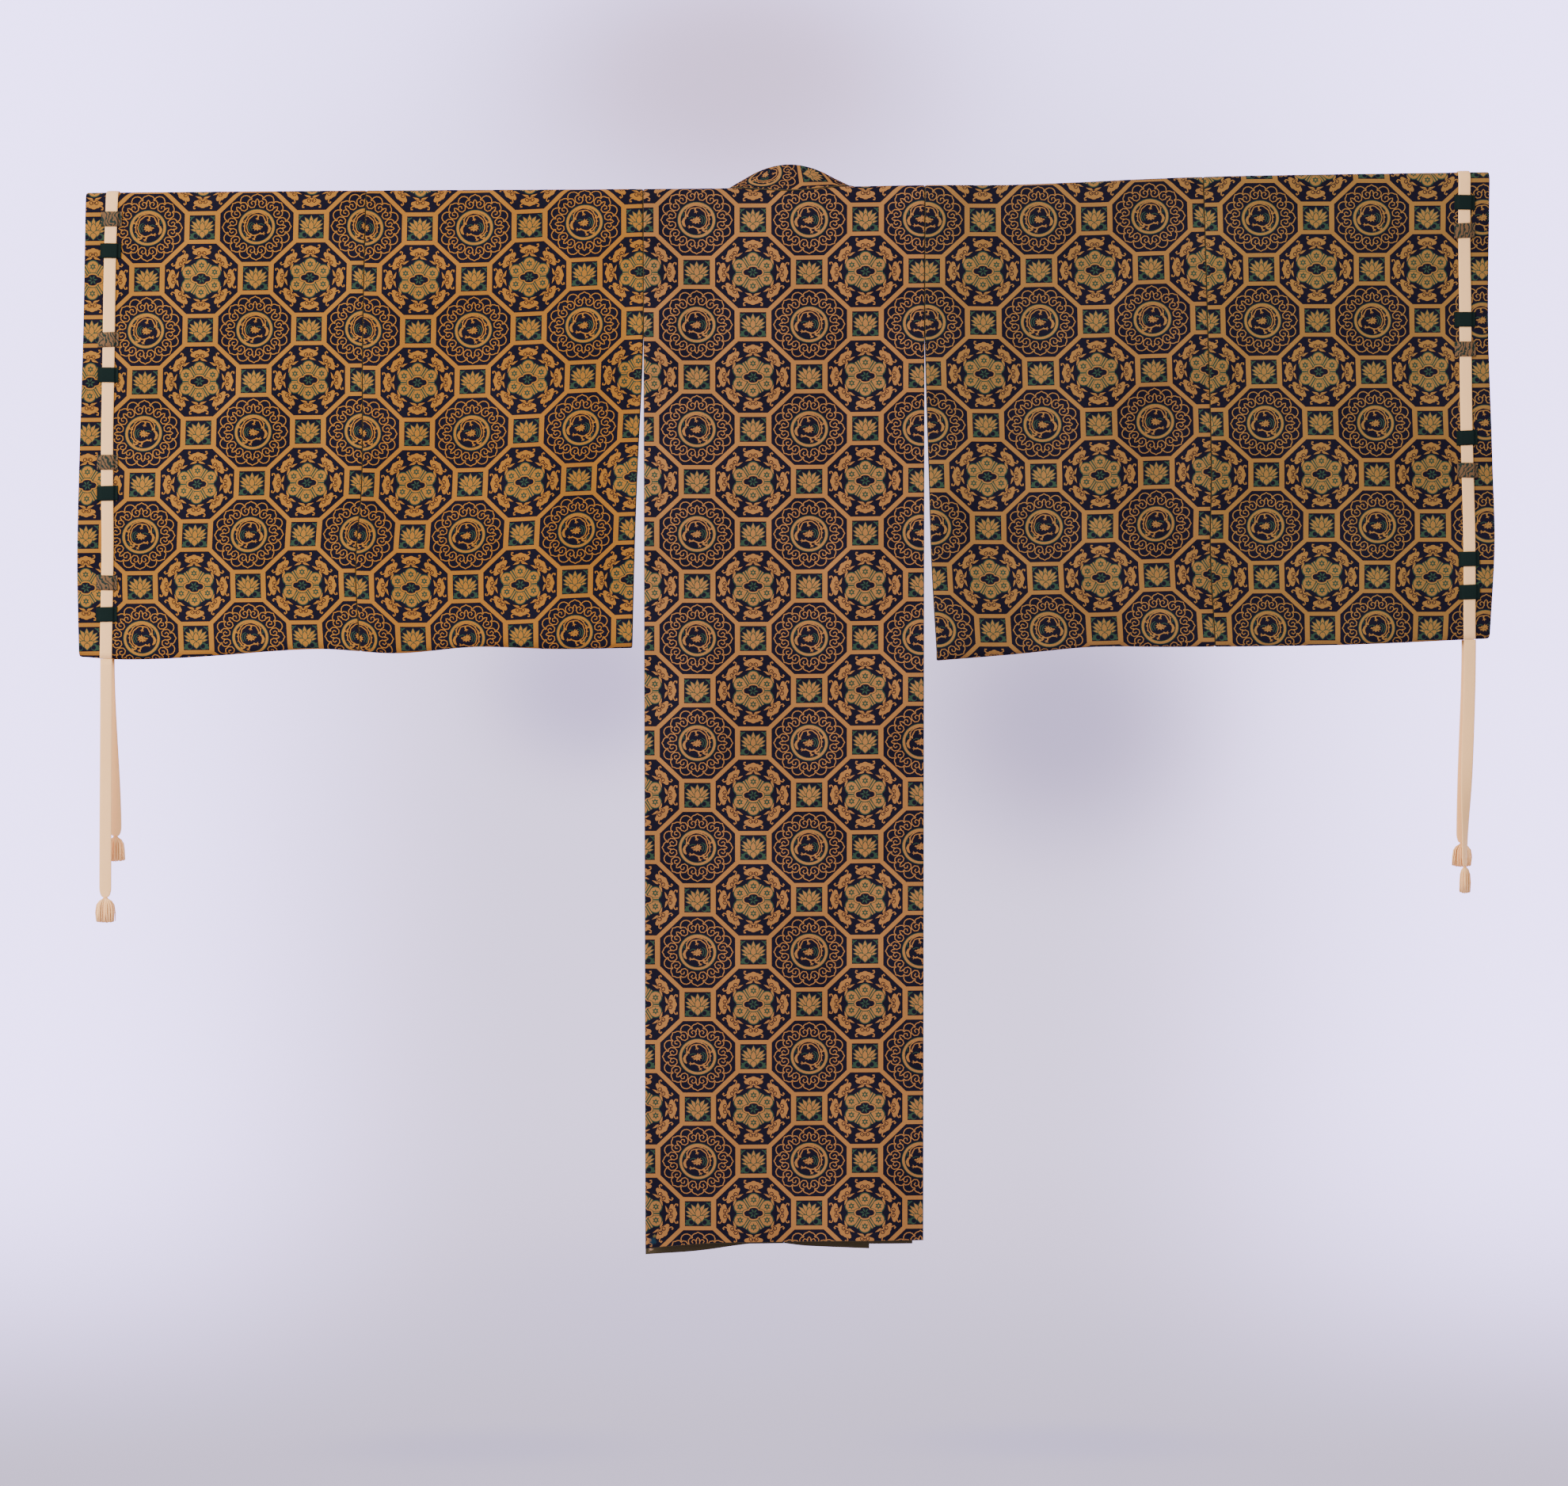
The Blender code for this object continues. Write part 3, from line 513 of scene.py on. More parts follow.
def placed(shapes, at=(0.0, 0.0), turn=0.0, flip=1):
    """Shapes moved, after a turn in degrees that brings their upright round clockwise."""
    cos, sin = math.cos(math.radians(turn)), math.sin(math.radians(turn))
    made = []
    for colour, outline in shapes:
        outline = np.asarray(outline, float)
        u, v = outline[:, 0] * flip, outline[:, 1]
        made.append((colour, np.stack([at[0] + u * cos + v * sin, at[1] - u * sin + v * cos], axis=1)))
    return made


def octagon():
    """Ground inside one octagon of the gold net."""
    (wide, side), (top, high) = OCTAGON
    corners = [(wide, -side), (wide, side), (top, high), (-top, high), (-wide, side), (-wide, -side),
               (-top, -high), (top, -high)]
    return [(NAVY, np.array(corners, float))]


def cloud_head():
    """Lines of one of the eight cloud heads round a dragon, with the bow on to the next one."""
    thread = 1.4
    lobe = [(7.6, 40.4), (8.2, 43.6), (5.6, 46.2), (2.6, 47.2), (0.0, 48.9)]
    curl = [(7.6, 40.4), (10.8, 40.4), (13.3, 37.0), (12.6, 31.8), (8.8, 28.4), (4.2, 29.0),
            (2.0, 33.0), (3.4, 37.2), (6.6, 38.2), (8.8, 35.4), (6.8, 32.8)]
    peak = [(2.3, 35.6), (1.9, 39.0), (0.0, 41.2)]
    middle, out, aside = np.array([16.0, 38.5]), np.array([0.383, 0.924]), np.array([0.924, -0.383])
    bow = []
    for turn in np.radians(np.linspace(-88, 88, 7)):
        bow.append(middle + 7.7 * (out * math.cos(turn) + aside * math.sin(turn)))
    lines = (through(lobe), bow, curl, mirrored(curl), through(peak))
    return [(GOLD, stroke(line, thread)) for line in lines]


def leg(turn, at, flip=1):
    """A dragon's leg with three claws, pointing along its turn."""
    shapes = [(GOLD, stroke([(0, -1.8), (0.8, 1.2), (0, 3.4)], [2.6, 1.9, 1.4]))]
    for lean, reach in ((-58, 3.6), (-8, 4.0), (42, 3.6)):
        u, v = math.sin(math.radians(lean)) * reach, math.cos(math.radians(lean)) * reach
        shapes.append((GOLD, leaf((0, 2.8), (u, 2.8 + v), 1.5)))
    return placed(shapes, at, turn, flip)


def dragon():
    """A coiled dragon in its ring, its head in the middle, and the ring of cloud heads."""
    shapes = []
    for turn in range(0, 360, 45):
        shapes += placed(cloud_head(), turn=turn)
    shapes += [(GREEN, circle(26.4, 36)), (GOLD, circle(25.4, 36)), (GREEN, circle(22.2, 32)),
               (NAVY, circle(21.4, 32))]
    body = curved([(7.5, -12.6), (12.0, -10.0), (15.0, -4.6), (15.6, 1.4), (14.2, 8.6), (10.6, 14.6),
                   (4.8, 18.6), (-2.2, 19.4), (-9.4, 17.0), (-13.2, 11.2), (-13.6, 4.6)])
    waves = 4.7 + 0.7 * np.sin(np.arange(len(body)) * 1.9)
    shapes += [(GREEN, stroke([(9.5, -6.5), (12.0, -1.0), (10.5, 4.5), (6.0, 7.6)], [1.0, 1.5, 1.4, 0.6])),
               (GREEN, stroke([(6.6, -5.5), (8.6, -0.5), (7.4, 3.4), (3.6, 5.6)], [0.9, 1.3, 1.3, 0.6])),
               (GREEN, stroke([(-16.2, 15.2), (-18.8, 11.0), (-18.4, 6.6), (-14.0, 3.4)], 0.9)),
               (GREEN, stroke([(-11.0, 2.4), (-6.5, 4.6), (-2.0, 3.2)], 1.0)),
               (GREEN, stroke([(17.2, -9.0), (14.0, -14.0), (9.0, -16.4)], 0.9))]
    for k in range(2, len(body) - 1, 2):
        run = body[k + 1] - body[k - 1]
        out = np.array([run[1], -run[0]]) / np.linalg.norm(run)
        base = body[k] + out * 2.0
        fin = [base - run * 0.20, base + out * 1.9 - run * 0.10, base + run * 0.20]
        shapes.append((GOLD, np.array(fin)))
    shapes += [(GOLD, stroke(body, waves)), (NAVY, stroke(body[1:-1], waves[1:-1] - 2.7))]
    shapes += [(GOLD, stroke([(-14.4, 4.0), (-17.2, 1.4), (-18.6, -2.6), (-17.4, -7.0), (-15.2, -9.6)],
                             [2.6, 3.0, 3.9, 3.4, 1.6]))]
    shapes += leg(172, (-1.5, 15.8)) + leg(80, (16.6, 7.0)) + leg(-100, (-6.0, -9.4), -1)
    shapes += leg(160, (2.4, -14.2)) + leg(118, (9.4, -14.6))
    shapes += [(GOLD, stroke([(9.0, -11.6), (4.4, -12.6), (1.0, -12.4), (-3.0, -10.4), (-7.0, -9.6)],
                             [2.4, 1.6, 2.0, 1.6, 1.8]))]
    head = [(-9.0, -0.6), (-7.8, 1.0), (-5.4, 0.7), (-4.2, 2.4), (-1.8, 2.4), (0.6, 5.8), (1.0, 2.9),
            (4.0, 4.9), (3.2, 2.1), (6.2, 1.6), (4.0, -0.2), (6.0, -2.6), (3.0, -2.4), (3.4, -5.6),
            (0.8, -3.8), (-1.6, -5.8), (-2.8, -3.6), (-5.8, -4.8), (-4.8, -2.8), (-7.2, -2.7), (-5.2, -1.6)]
    shapes += [(GOLD, np.array(head)), (NAVY, leaf((-2.4, -1.3), (-6.6, -1.0), 0.9)),
               (NAVY, circle(0.7, 5, (-2.6, 0.9))), (NAVY, leaf((0.2, -1.6), (3.0, -0.4), 1.0))]
    return [(colour, np.asarray(outline) * MEDALLION) for colour, outline in shapes]


def petal():
    """One round petal with a star on it."""
    def drop(radius, base):
        turn = np.radians(np.linspace(-112, 112, 12))
        ring = [(radius * math.sin(a), radius * math.cos(a)) for a in turn]
        return np.array(ring + [(base, -10.5), (-base, -10.5)])

    rays = np.radians(np.arange(12) * 30)
    reach = np.where(np.arange(12) % 2 == 0, 5.4, 2.9)
    star = np.stack([np.sin(rays) * reach, np.cos(rays) * reach], axis=1)
    return [(GREEN, drop(9.5, 3.6)), (GOLD, drop(8.0, 2.3)), (GREEN, star), (GOLD, circle(1.5, 6))]


def cloud():
    """A cloud with two curls, two leaves towards the flower and two hooks away from it."""
    half = [(0.0, -1.6), (1.6, -2.7), (4.4, -2.7), (7.0, -1.2), (11.8, 0.1), (13.5, 2.2), (12.6, 4.6),
            (8.6, 5.2), (7.6, 8.0), (3.6, 8.8), (1.9, 9.9), (0.0, 10.2)]
    shapes = [(GOLD, np.array(closed_half(half)))]
    wing = np.array([(0.7, -3.4), (3.4, -3.1), (7.0, -3.7), (11.2, -6.9), (7.2, -6.5), (3.2, -5.6)])
    hook = [(8.0, 5.9), (11.0, 6.4), (13.4, 8.2), (13.0, 10.8), (10.6, 10.4)]
    turns = np.radians(np.array([200, 140, 80, 20, -40, -100, -170, -250]))
    reach = np.array([3.1, 3.1, 3.0, 2.9, 2.7, 2.4, 1.8, 1.2])
    curl = np.stack([3.6 + reach * np.cos(turns), 0.9 + reach * np.sin(turns)], axis=1)
    for flip in (1, -1):
        shapes += placed([(GOLD, wing), (GOLD, stroke(hook, [1.9, 1.7, 1.6, 1.9, 2.2])),
                          (NAVY, stroke(curl, 1.15))], flip=flip)
    return shapes


def flower():
    """Six petals round a four-lobed middle, with eight clouds round them."""
    shapes = []
    for turn, reach in ((0, 19.0), (64, 21.4), (116, 21.4), (180, 19.0), (244, 21.4), (296, 21.4)):
        at = (reach * math.sin(math.radians(turn)), reach * math.cos(math.radians(turn)))
        shapes += placed(petal(), at, turn)
    for turn in (31, 90, 149, 211, 270, 329):
        rays = [(GREEN, np.array([(-2.9, 10.0), (2.9, 10.0), (3.6, 24.4), (-3.6, 24.4)])),
                (GOLD, stroke([(-1.5, 10.5), (-1.9, 24.0)], [1.2, 1.7])),
                (GOLD, stroke([(1.5, 10.5), (1.9, 24.0)], [1.2, 1.7]))]
        shapes += placed(rays, turn=turn)
    quarter = [(13.4, 0.0), (12.4, 2.9), (9.4, 4.2), (6.6, 4.4), (5.3, 6.6), (2.8, 7.6), (0.0, 7.8)]
    half = [(u, -v) for u, v in quarter[:0:-1]] + quarter
    lobes = np.array(closed_half(half))
    for colour, wide, high in ((GREEN, 1.24, 1.44), (GOLD, 1.16, 1.28), (NAVY, 1.0, 1.0)):
        shapes.append((colour, lobes * (wide, high)))
    for turn in range(20, 380, 60):
        shapes += placed([(GREEN, np.array([(0.3, 1.0), (2.4, 2.6), (2.4, 7.2), (0.1, 4.0)]))], turn=turn)
    clouds = ((0, 35.1), (49, 35.6), (90, 39.3), (131, 35.6),
              (180, 35.1), (229, 35.6), (270, 39.3), (311, 35.6))
    for turn, reach in clouds:
        at = (reach * math.sin(math.radians(turn)), reach * math.cos(math.radians(turn)))
        shapes += placed(cloud(), at, turn)
    return shapes


def lotus():
    """A lotus in a square, with a scroll in each corner."""
    wide, high = SQUARE
    shapes = [(NAVY, np.array([(-wide, -high), (wide, -high), (wide, high), (-wide, high)], float))]
    for flip in (1, -1):
        corner = [(GREEN, circle(5.0, 12, (10.6, -12.0))), (GREEN, leaf((13.0, -12.4), (18.8, -15.2), 5.0)),
                  (GREEN, leaf((13.0, -12.0), (17.6, -8.6), 3.4)), (NAVY, circle(3.3, 10, (9.4, -12.0))),
                  (GREEN, stroke([(18.0, 9.4), (15.6, 13.6), (11.6, 15.4)], [1.2, 2.2, 1.2])),
                  (GREEN, leaf((14.6, 12.6), (18.8, 15.6), 2.4))]
        shapes += placed(corner, flip=flip)
    petals = [((2.5, -5.5), (16.4, -2.8), 3.2), ((2.0, -4.0), (17.0, 3.4), 4.4),
              ((1.6, -2.6), (15.0, 8.6), 4.6), ((0.8, 0.0), (9.2, 12.4), 5.0)]
    leaves = []
    for (base_u, base_v), (tip_u, tip_v), width in petals:
        for flip in (1, -1):
            leaves.append(((base_u * flip, base_v), (tip_u * flip, tip_v), width))
    leaves.append(((0, 1.0), (0, 15.0), 5.0))
    leaves.append(((0, -4.6), (0, 7.6), 7.4))
    for flip in (1, -1):
        leaves.append(((0.4 * flip, -9.4), (9.4 * flip, -3.4), 7.4))
    leaves.append(((0, -6.4), (0, -15.0), 7.6))
    for base, tip, width in leaves:
        base, tip = np.array(base), np.array(tip)
        run = (tip - base) / np.linalg.norm(tip - base)
        shapes.append((GREEN, leaf(base - run * 0.9, tip + run * 1.4, width + 2.1)))
        shapes.append((GOLD, leaf(base, tip, width)))
    return shapes


def split_edges(outline, step):
    """The outline with a point at least every step along it."""
    made = []
    for first, second in zip(outline, np.roll(outline, -1, axis=0)):
        count = max(1, math.ceil(np.linalg.norm(second - first) / step))
        made += [between(first, second, k / count) for k in range(count)]
    return np.array(made)


def sides_of(triangles):
    """Corner numbers of the triangles' sides: all first sides, then all second and third ones."""
    return np.concatenate([triangles[:, [0, 1]], triangles[:, [1, 2]], triangles[:, [2, 0]]])


def outlines_only(corners, triangles, labels, fixed, straight):
    """The same coloured areas with fewer triangles.

    Corners between two colours stay, except those nearly in line with the next ones. On the rim only
    the fixed corners and the ends of outlines stay, so the repeats fit each other.
    """
    around = {}
    pairs = np.sort(sides_of(triangles), axis=1).tolist()
    for pair, label in zip(map(tuple, pairs), np.tile(labels, 3).tolist()):
        around.setdefault(pair, []).append(label)
    rim = {corner for pair, here in around.items() if len(here) == 1 for corner in pair}
    links = {}
    for (first, second), here in around.items():
        if len(here) == 1 or here[0] != here[1]:
            links.setdefault(first, set()).add(second)
            links.setdefault(second, set()).add(first)
    for corner in sorted(links):
        if len(links[corner]) != 2 or tuple(np.round(corners[corner], 2)) in fixed:
            continue
        before, after = sorted(links[corner])
        run = corners[after] - corners[before]
        away = corners[corner] - corners[before]
        length = np.linalg.norm(run)
        if corner not in rim:
            if after in links[before] or not 1e-6 < length < LONGEST_SIDE:
                continue
            if abs(run[0] * away[1] - run[1] * away[0]) > straight * length:
                continue
        del links[corner]
        for one, other in ((before, after), (after, before)):
            links[one].discard(corner)
            links[one].add(other)
    kept = sorted(links)
    number = {corner: k for k, corner in enumerate(kept)}
    lines = [(number[one], number[other]) for one in kept for other in sorted(links[one]) if one < other]
    places, _, made, _, _, _ = delaunay_2d_cdt([Vector(corners[k]) for k in kept], lines, [], 0, 1e-4)
    thinned = np.array([point[:] for point in places])[np.array(made)]
    colours = []
    for middle in thinned.mean(axis=1):
        turns = []
        for k in range(3):
            start, end = corners[triangles[:, k]], corners[triangles[:, (k + 1) % 3]]
            run, away = end - start, middle - start
            turns.append(run[:, 0] * away[:, 1] - run[:, 1] * away[:, 0])
        colours.append(labels[np.argmax(np.min(turns, axis=0) >= -1e-9)])
    return thinned, np.array(colours)


def weave_repeat():
    """Triangles of one repeat of the pattern in mm, and each one's colour: a fine and a plainer set."""
    wide, high = REPEAT_WIDE / 2, REPEAT_HIGH / 2
    rim = np.array([(-wide, -high), (wide, -high), (wide, high), (-wide, high)])
    frame_line = split_edges(rim, RIM_STEP)
    shapes = [(GOLD, frame_line)]
    shapes += octagon() + dragon()
    for at in ((wide, high), (-wide, high), (wide, -high), (-wide, -high)):
        shapes += placed(octagon(), at) + placed(flower(), at)
    for at in ((wide, 0), (-wide, 0), (0, high), (0, -high)):
        shapes += placed(lotus(), at)
    places, faces, colours = [], [], []
    for colour, outline in shapes:
        low, top = outline.min(axis=0), outline.max(axis=0)
        if low[0] > wide or low[1] > high or top[0] < -wide or top[1] < -high:
            continue
        if len(outline) < 30:
            outline = split_edges(outline, LONGEST_SIDE)
        after = np.roll(outline, -1, axis=0)
        if (outline[:, 0] * after[:, 1] - after[:, 0] * outline[:, 1]).sum() < 0:
            outline = outline[::-1]
        faces.append(list(range(len(places), len(places) + len(outline))))
        places += [Vector(point) for point in outline]
        colours.append(colour)
    corners, _, made, _, _, inside = delaunay_2d_cdt(places, [], faces, 1, 1e-4)
    corners = np.array([point[:] for point in corners])
    keep = [k for k, shapes_here in enumerate(inside) if 0 in shapes_here]
    triangles = np.array([made[k] for k in keep])
    labels = np.array([colours[max(inside[k])] for k in keep])
    fixed = {tuple(np.round(point, 2)) for point in frame_line}
    return [outlines_only(corners, triangles, labels, fixed, straight) for straight in STRAIGHT]


def halved(soup, labels, level, keep_below=True):
    """Triangles cut where level is zero, with those below it kept or left out."""
    heights = level(soup[..., 0], soup[..., 1])
    heights = np.where(np.abs(heights) < NEAR_CUT, 0.0, heights)
    whole_above, whole_below = (heights >= 0).all(axis=1), (heights <= 0).all(axis=1)
    crossed = ~(whole_above | whole_below)
    kept, kept_labels = [soup[whole_above]], [labels[whole_above]]
    if keep_below:
        pick = whole_below & ~whole_above
        kept.append(soup[pick])
        kept_labels.append(labels[pick])
    cut, cut_labels, cut_heights = soup[crossed], labels[crossed], heights[crossed]
    if len(cut):
        sides = cut_heights > 0
        lone = np.where(sides.sum(axis=1) == 1, sides.argmax(axis=1), (~sides).argmax(axis=1))
        order = (lone[:, None] + np.arange(3)) % 3
        rows = np.arange(len(cut))[:, None]
        cut, cut_heights = cut[rows, order], cut_heights[rows, order]
        lone_above = cut_heights[:, 0] > 0
        points = []
        for other in (1, 2):
            share = cut_heights[:, 0] / (cut_heights[:, 0] - cut_heights[:, other])
            points.append(cut[:, 0] + (cut[:, other] - cut[:, 0]) * share[:, None])
        tip = np.stack([cut[:, 0], points[0], points[1]], axis=1)
        base = np.stack([points[0], cut[:, 1], cut[:, 2]], axis=1)
        rest = np.stack([points[0], cut[:, 2], points[1]], axis=1)
        for part, is_above in ((tip, lone_above), (base, ~lone_above), (rest, ~lone_above)):
            pick = is_above | keep_below
            kept.append(part[pick])
            kept_labels.append(cut_labels[pick])
    return np.concatenate(kept), np.concatenate(kept_labels)


REPEATS = weave_repeat()
PLAIN_STEP = (0.0150, 0.0300)
Weave = namedtuple("Weave", "p s wide high flip drift")


def woven(weave, low, high, fine_to=0.0):
    """The pattern's triangles over a box of (p, s), in metres; its rows drift up or down across.

    Rows whose middle is below fine_to are the fine ones.
    """
    flip = -1 if weave.flip else 1
    start, step, margin = np.array(weave[:2]), np.array(weave[2:4]), np.array((0.0, 0.010))
    first = np.floor((np.array(low) - margin - start) / step + 0.5).astype(int)
    last = np.floor((np.array(high) + margin - start) / step + 0.5).astype(int)
    tiles, colours = [], []
    for column in range(first[0], last[0] + 1):
        for row in range(first[1], last[1] + 1):
            place = start + step * (column, row)
            tile, labels = REPEATS[0 if place[1] < fine_to else 1]
            tiles.append((tile * (flip, 1))[:, ::flip] * step / (REPEAT_WIDE, REPEAT_HIGH) + place)
            colours.append(labels)
    soup = np.concatenate(tiles)
    soup[..., 1] += along(weave.drift, soup[..., 0])
    return soup, np.concatenate(colours)


def plain(low, high, colour):
    """Plain triangles over a box of (p, s)."""
    counts = [max(1, math.ceil((high[k] - low[k]) / PLAIN_STEP[k])) for k in (0, 1)]
    p = np.linspace(low[0], high[0], counts[0] + 1)
    s = np.linspace(low[1], high[1], counts[1] + 1)
    grid = np.stack(np.meshgrid(p, s, indexing="ij"), axis=-1)
    a, b, c, d = grid[:-1, :-1], grid[1:, :-1], grid[1:, 1:], grid[:-1, 1:]
    soup = np.concatenate([np.stack([a, b, c], axis=2), np.stack([a, c, d], axis=2)]).reshape(-1, 3, 2)
    return soup, np.full(len(soup), colour)


def welded(soup):
    """Places and corner numbers of triangles with equal corners joined, and which are no slivers."""
    places, numbers = np.unique(np.round(soup.reshape(-1, 2), 7), axis=0, return_inverse=True)
    numbers = numbers.reshape(-1, 3)
    good = (numbers != np.roll(numbers, -1, axis=1)).all(axis=1)
    return places, numbers[good], good


def make_object(name, points, triangles, materials, labels=None):
    """A mesh object from arrays of points and faces."""
    mesh = bpy.data.meshes.new(name)
    if isinstance(triangles, np.ndarray):
        mesh.vertices.add(len(points))
        mesh.vertices.foreach_set("co", np.asarray(points, np.float32).ravel())
        mesh.loops.add(triangles.size)
        mesh.loops.foreach_set("vertex_index", triangles.ravel().astype(np.int32))
        mesh.polygons.add(len(triangles))
        size = triangles.shape[1]
        mesh.polygons.foreach_set("loop_start", np.arange(len(triangles), dtype=np.int32) * size)
    else:
        mesh.from_pydata([tuple(point) for point in points], [], triangles)
    for finish in materials:
        mesh.materials.append(finish)
    if labels is not None:
        mesh.polygons.foreach_set("material_index", np.asarray(labels, np.int32))
    mesh.polygons.foreach_set("use_smooth", np.full(len(mesh.polygons), True))
    mesh.update(calc_edges=True)
    mesh.validate()
    thing = bpy.data.objects.new(name, mesh)
    bpy.context.scene.collection.objects.link(thing)
    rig.ride(thing, "root")
    return thing


EDGE_ROWS = (0.0007, 0.0024)    # rows of the mesh beside a free edge; the first one takes the lining's dark colour, as painted shade in the seams' valleys and a turned edge's dark rim at hems and wrists
MEET_ROWS = (0.0050, 0.0110)    # rows beside an edge that meets another
TUCK = {1: 1.2, -1: 0.2}        # how far the outer face and the lining are drawn in at a free edge
TUCK_REACH = 0.0010


def build_cloth(name, node, shape, box, edges, ends, outer, materials, bends):
    """One cloth piece: a woven outer face, a lining, and the turned edge that joins them.

    shape gives points for p, s and lift. Inside a piece every function in edges and ends is above
    zero: edges are free and rounded, ends meet each other. bends are lengths s with a row of corners.
    """
    low, high = box

    def trimmed(soup, labels):
        for level in edges + ends:
            soup, labels = halved(soup, labels, level, keep_below=False)
        for at in bends:
            soup, labels = halved(soup, labels, lambda p, s, at=at: s - at)
        for levels, rows in ((edges, EDGE_ROWS), (ends, MEET_ROWS)):
            for level in levels:
                for row in rows:
                    soup, labels = halved(soup, labels, lambda p, s, row=row: level(p, s) - row)
        return soup, labels

    def room_at(places):
        return np.min([level(places[:, 0], places[:, 1]) for level in edges], axis=0)

    def points_at(places, side):
        tucked = TUCK[side] * np.exp(-np.maximum(room_at(places), 0.0) / TUCK_REACH)
        return shape(places[:, 0], places[:, 1], side * CLOTH / 2 * (1 - tucked))

    soup, labels = trimmed(*outer)
    places, corners, good = welded(soup)
    labels = labels[good]
    # Painted shade: the outer face's last row by each free edge takes the dark lining colour, a dark line in each
    # seam's valley and a turned edge's dark rim at hems and wrists
    labels = np.where(room_at(places[corners].mean(axis=1)) < EDGE_ROWS[0], LINING, labels)
    points = points_at(places, 1)

    inner_soup, inner_labels = trimmed(*plain(low, high, LINING))
    inner_places, inner_corners, good = welded(inner_soup)
    inner_corners, inner_labels = inner_corners[:, ::-1], inner_labels[good]

    sides = sides_of(corners)
    _, index, counts = np.unique(np.sort(sides, axis=1), axis=0, return_index=True, return_counts=True)
    rim = sides[index[counts == 1]]
    rim = rim[room_at(places[rim].mean(axis=1)) < 0.0002]
    used, rim_corners = np.unique(rim, return_inverse=True)
    rim_corners = rim_corners.reshape(-1, 2) + len(places) + len(inner_places)
    first, second = rim[:, 0], rim[:, 1]
    first_in, second_in = rim_corners[:, 0], rim_corners[:, 1]
    band = np.concatenate([np.stack([second, first, first_in], axis=1),
                           np.stack([second, first_in, second_in], axis=1)])

    points = np.concatenate([points, points_at(inner_places, -1), points_at(places[used], -1)])
    triangles = np.concatenate([corners, inner_corners + len(places), band])
    labels = np.concatenate([labels, inner_labels, np.full(len(band), LINING)])
    thing = make_object(name, points, triangles, materials, labels)
    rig.replaces(thing, node)
    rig.slot(thing, "brocade")
    return thing


# Finishes

Worn = namedtuple("Worn", "place reach colour")


def add_node(tree, kind, sockets, **settings):
    """A shader node with its settings, and a value or a link for each named socket."""
    made = tree.nodes.new("ShaderNode" + kind)
    for key, value in settings.items():
        setattr(made, key, value)
    for key, value in sockets.items():
        if isinstance(value, bpy.types.NodeSocket):
            tree.links.new(value, made.inputs[key])
        elif made.inputs[key].type == "RGBA":
            made.inputs[key].default_value = value + (1.0,)
        else:
            made.inputs[key].default_value = value
    return made


def mixed(tree, first, second, share):
    """A colour between two, by a share."""
    made = add_node(tree, "Mix", {"A": first, "B": second, "Factor": share}, data_type="RGBA")
    return made.outputs["Result"]


def ranged(tree, value, low, high, least=0.0, most=1.0, **settings):
    """A value between least and most as another runs from low to high."""
    sockets = {"Value": value, "From Min": low, "From Max": high, "To Min": least, "To Max": most}
    return add_node(tree, "MapRange", sockets, **settings).outputs["Result"]


def object_place(tree):
    """The place on an object."""
    return add_node(tree, "TexCoord", {}).outputs["Object"]


def new_material(name, roughness):
    """A material, its nodes and its shader."""
    made = bpy.data.materials.new(name)
    made.use_nodes = True
    shader = made.node_tree.nodes["Principled BSDF"]
    shader.inputs["Roughness"].default_value = roughness
    return made, made.node_tree, shader


def cover(tree, shader, colour, height, strength, distance):
    """Give the shader its colour and a little relief."""
    relief = add_node(tree, "Bump", {"Strength": strength, "Distance": distance, "Height": height})
    tree.links.new(colour, shader.inputs["Base Color"])
    tree.links.new(relief.outputs["Normal"], shader.inputs["Normal"])


def worn_place(tree, colour, worn):
    """The colour with a faded place mixed in, ragged at its edge."""
    place = object_place(tree)
    ragged = add_node(tree, "TexNoise", {"Scale": 420.0, "Detail": 3.0, "Vector": place}).outputs["Fac"]
    away = add_node(tree, "VectorMath", {0: place, 1: worn.place}, operation="DISTANCE").outputs["Value"]
    rough = add_node(tree, "Math", {0: ragged, 1: worn.reach * 1.6, 2: away}, operation="MULTIPLY_ADD")
    fade = ranged(tree, rough.outputs["Value"], worn.reach * 1.9, worn.reach * 1.3, 0.0, 0.85)
    return mixed(tree, colour, worn.colour, fade)


def finish_of(name, colour, second, threads, gloss, bump=0.4, wear=0.15, across=False, worn=()):
    """Woven silk: two tones in fine threads, soft cloudy wear, a little relief and faded places."""
    made, tree, shader = new_material(name, 0.58)
    shader.inputs["Specular IOR Level"].default_value = gloss
    place = object_place(tree)
    ribs = add_node(tree, "TexWave", {"Scale": threads, "Distortion": 1.2, "Detail": 1.0, "Vector": place},
                    bands_direction="Z" if across else "X").outputs["Fac"]
    cloudy = add_node(tree, "TexNoise", {"Scale": 9.0, "Detail": 5.0, "Vector": place}).outputs["Fac"]
    aged = ranged(tree, cloudy, 0.30, 0.72, 1.0 - wear, 1.0 + wear)
    shade = {0: mixed(tree, colour, second, ribs), "Scale": aged}
    look = add_node(tree, "VectorMath", shade, operation="SCALE").outputs["Vector"]
    for spot in worn:
        look = worn_place(tree, look, spot)
    cover(tree, shader, look, ribs, bump, 0.0002)
    return made


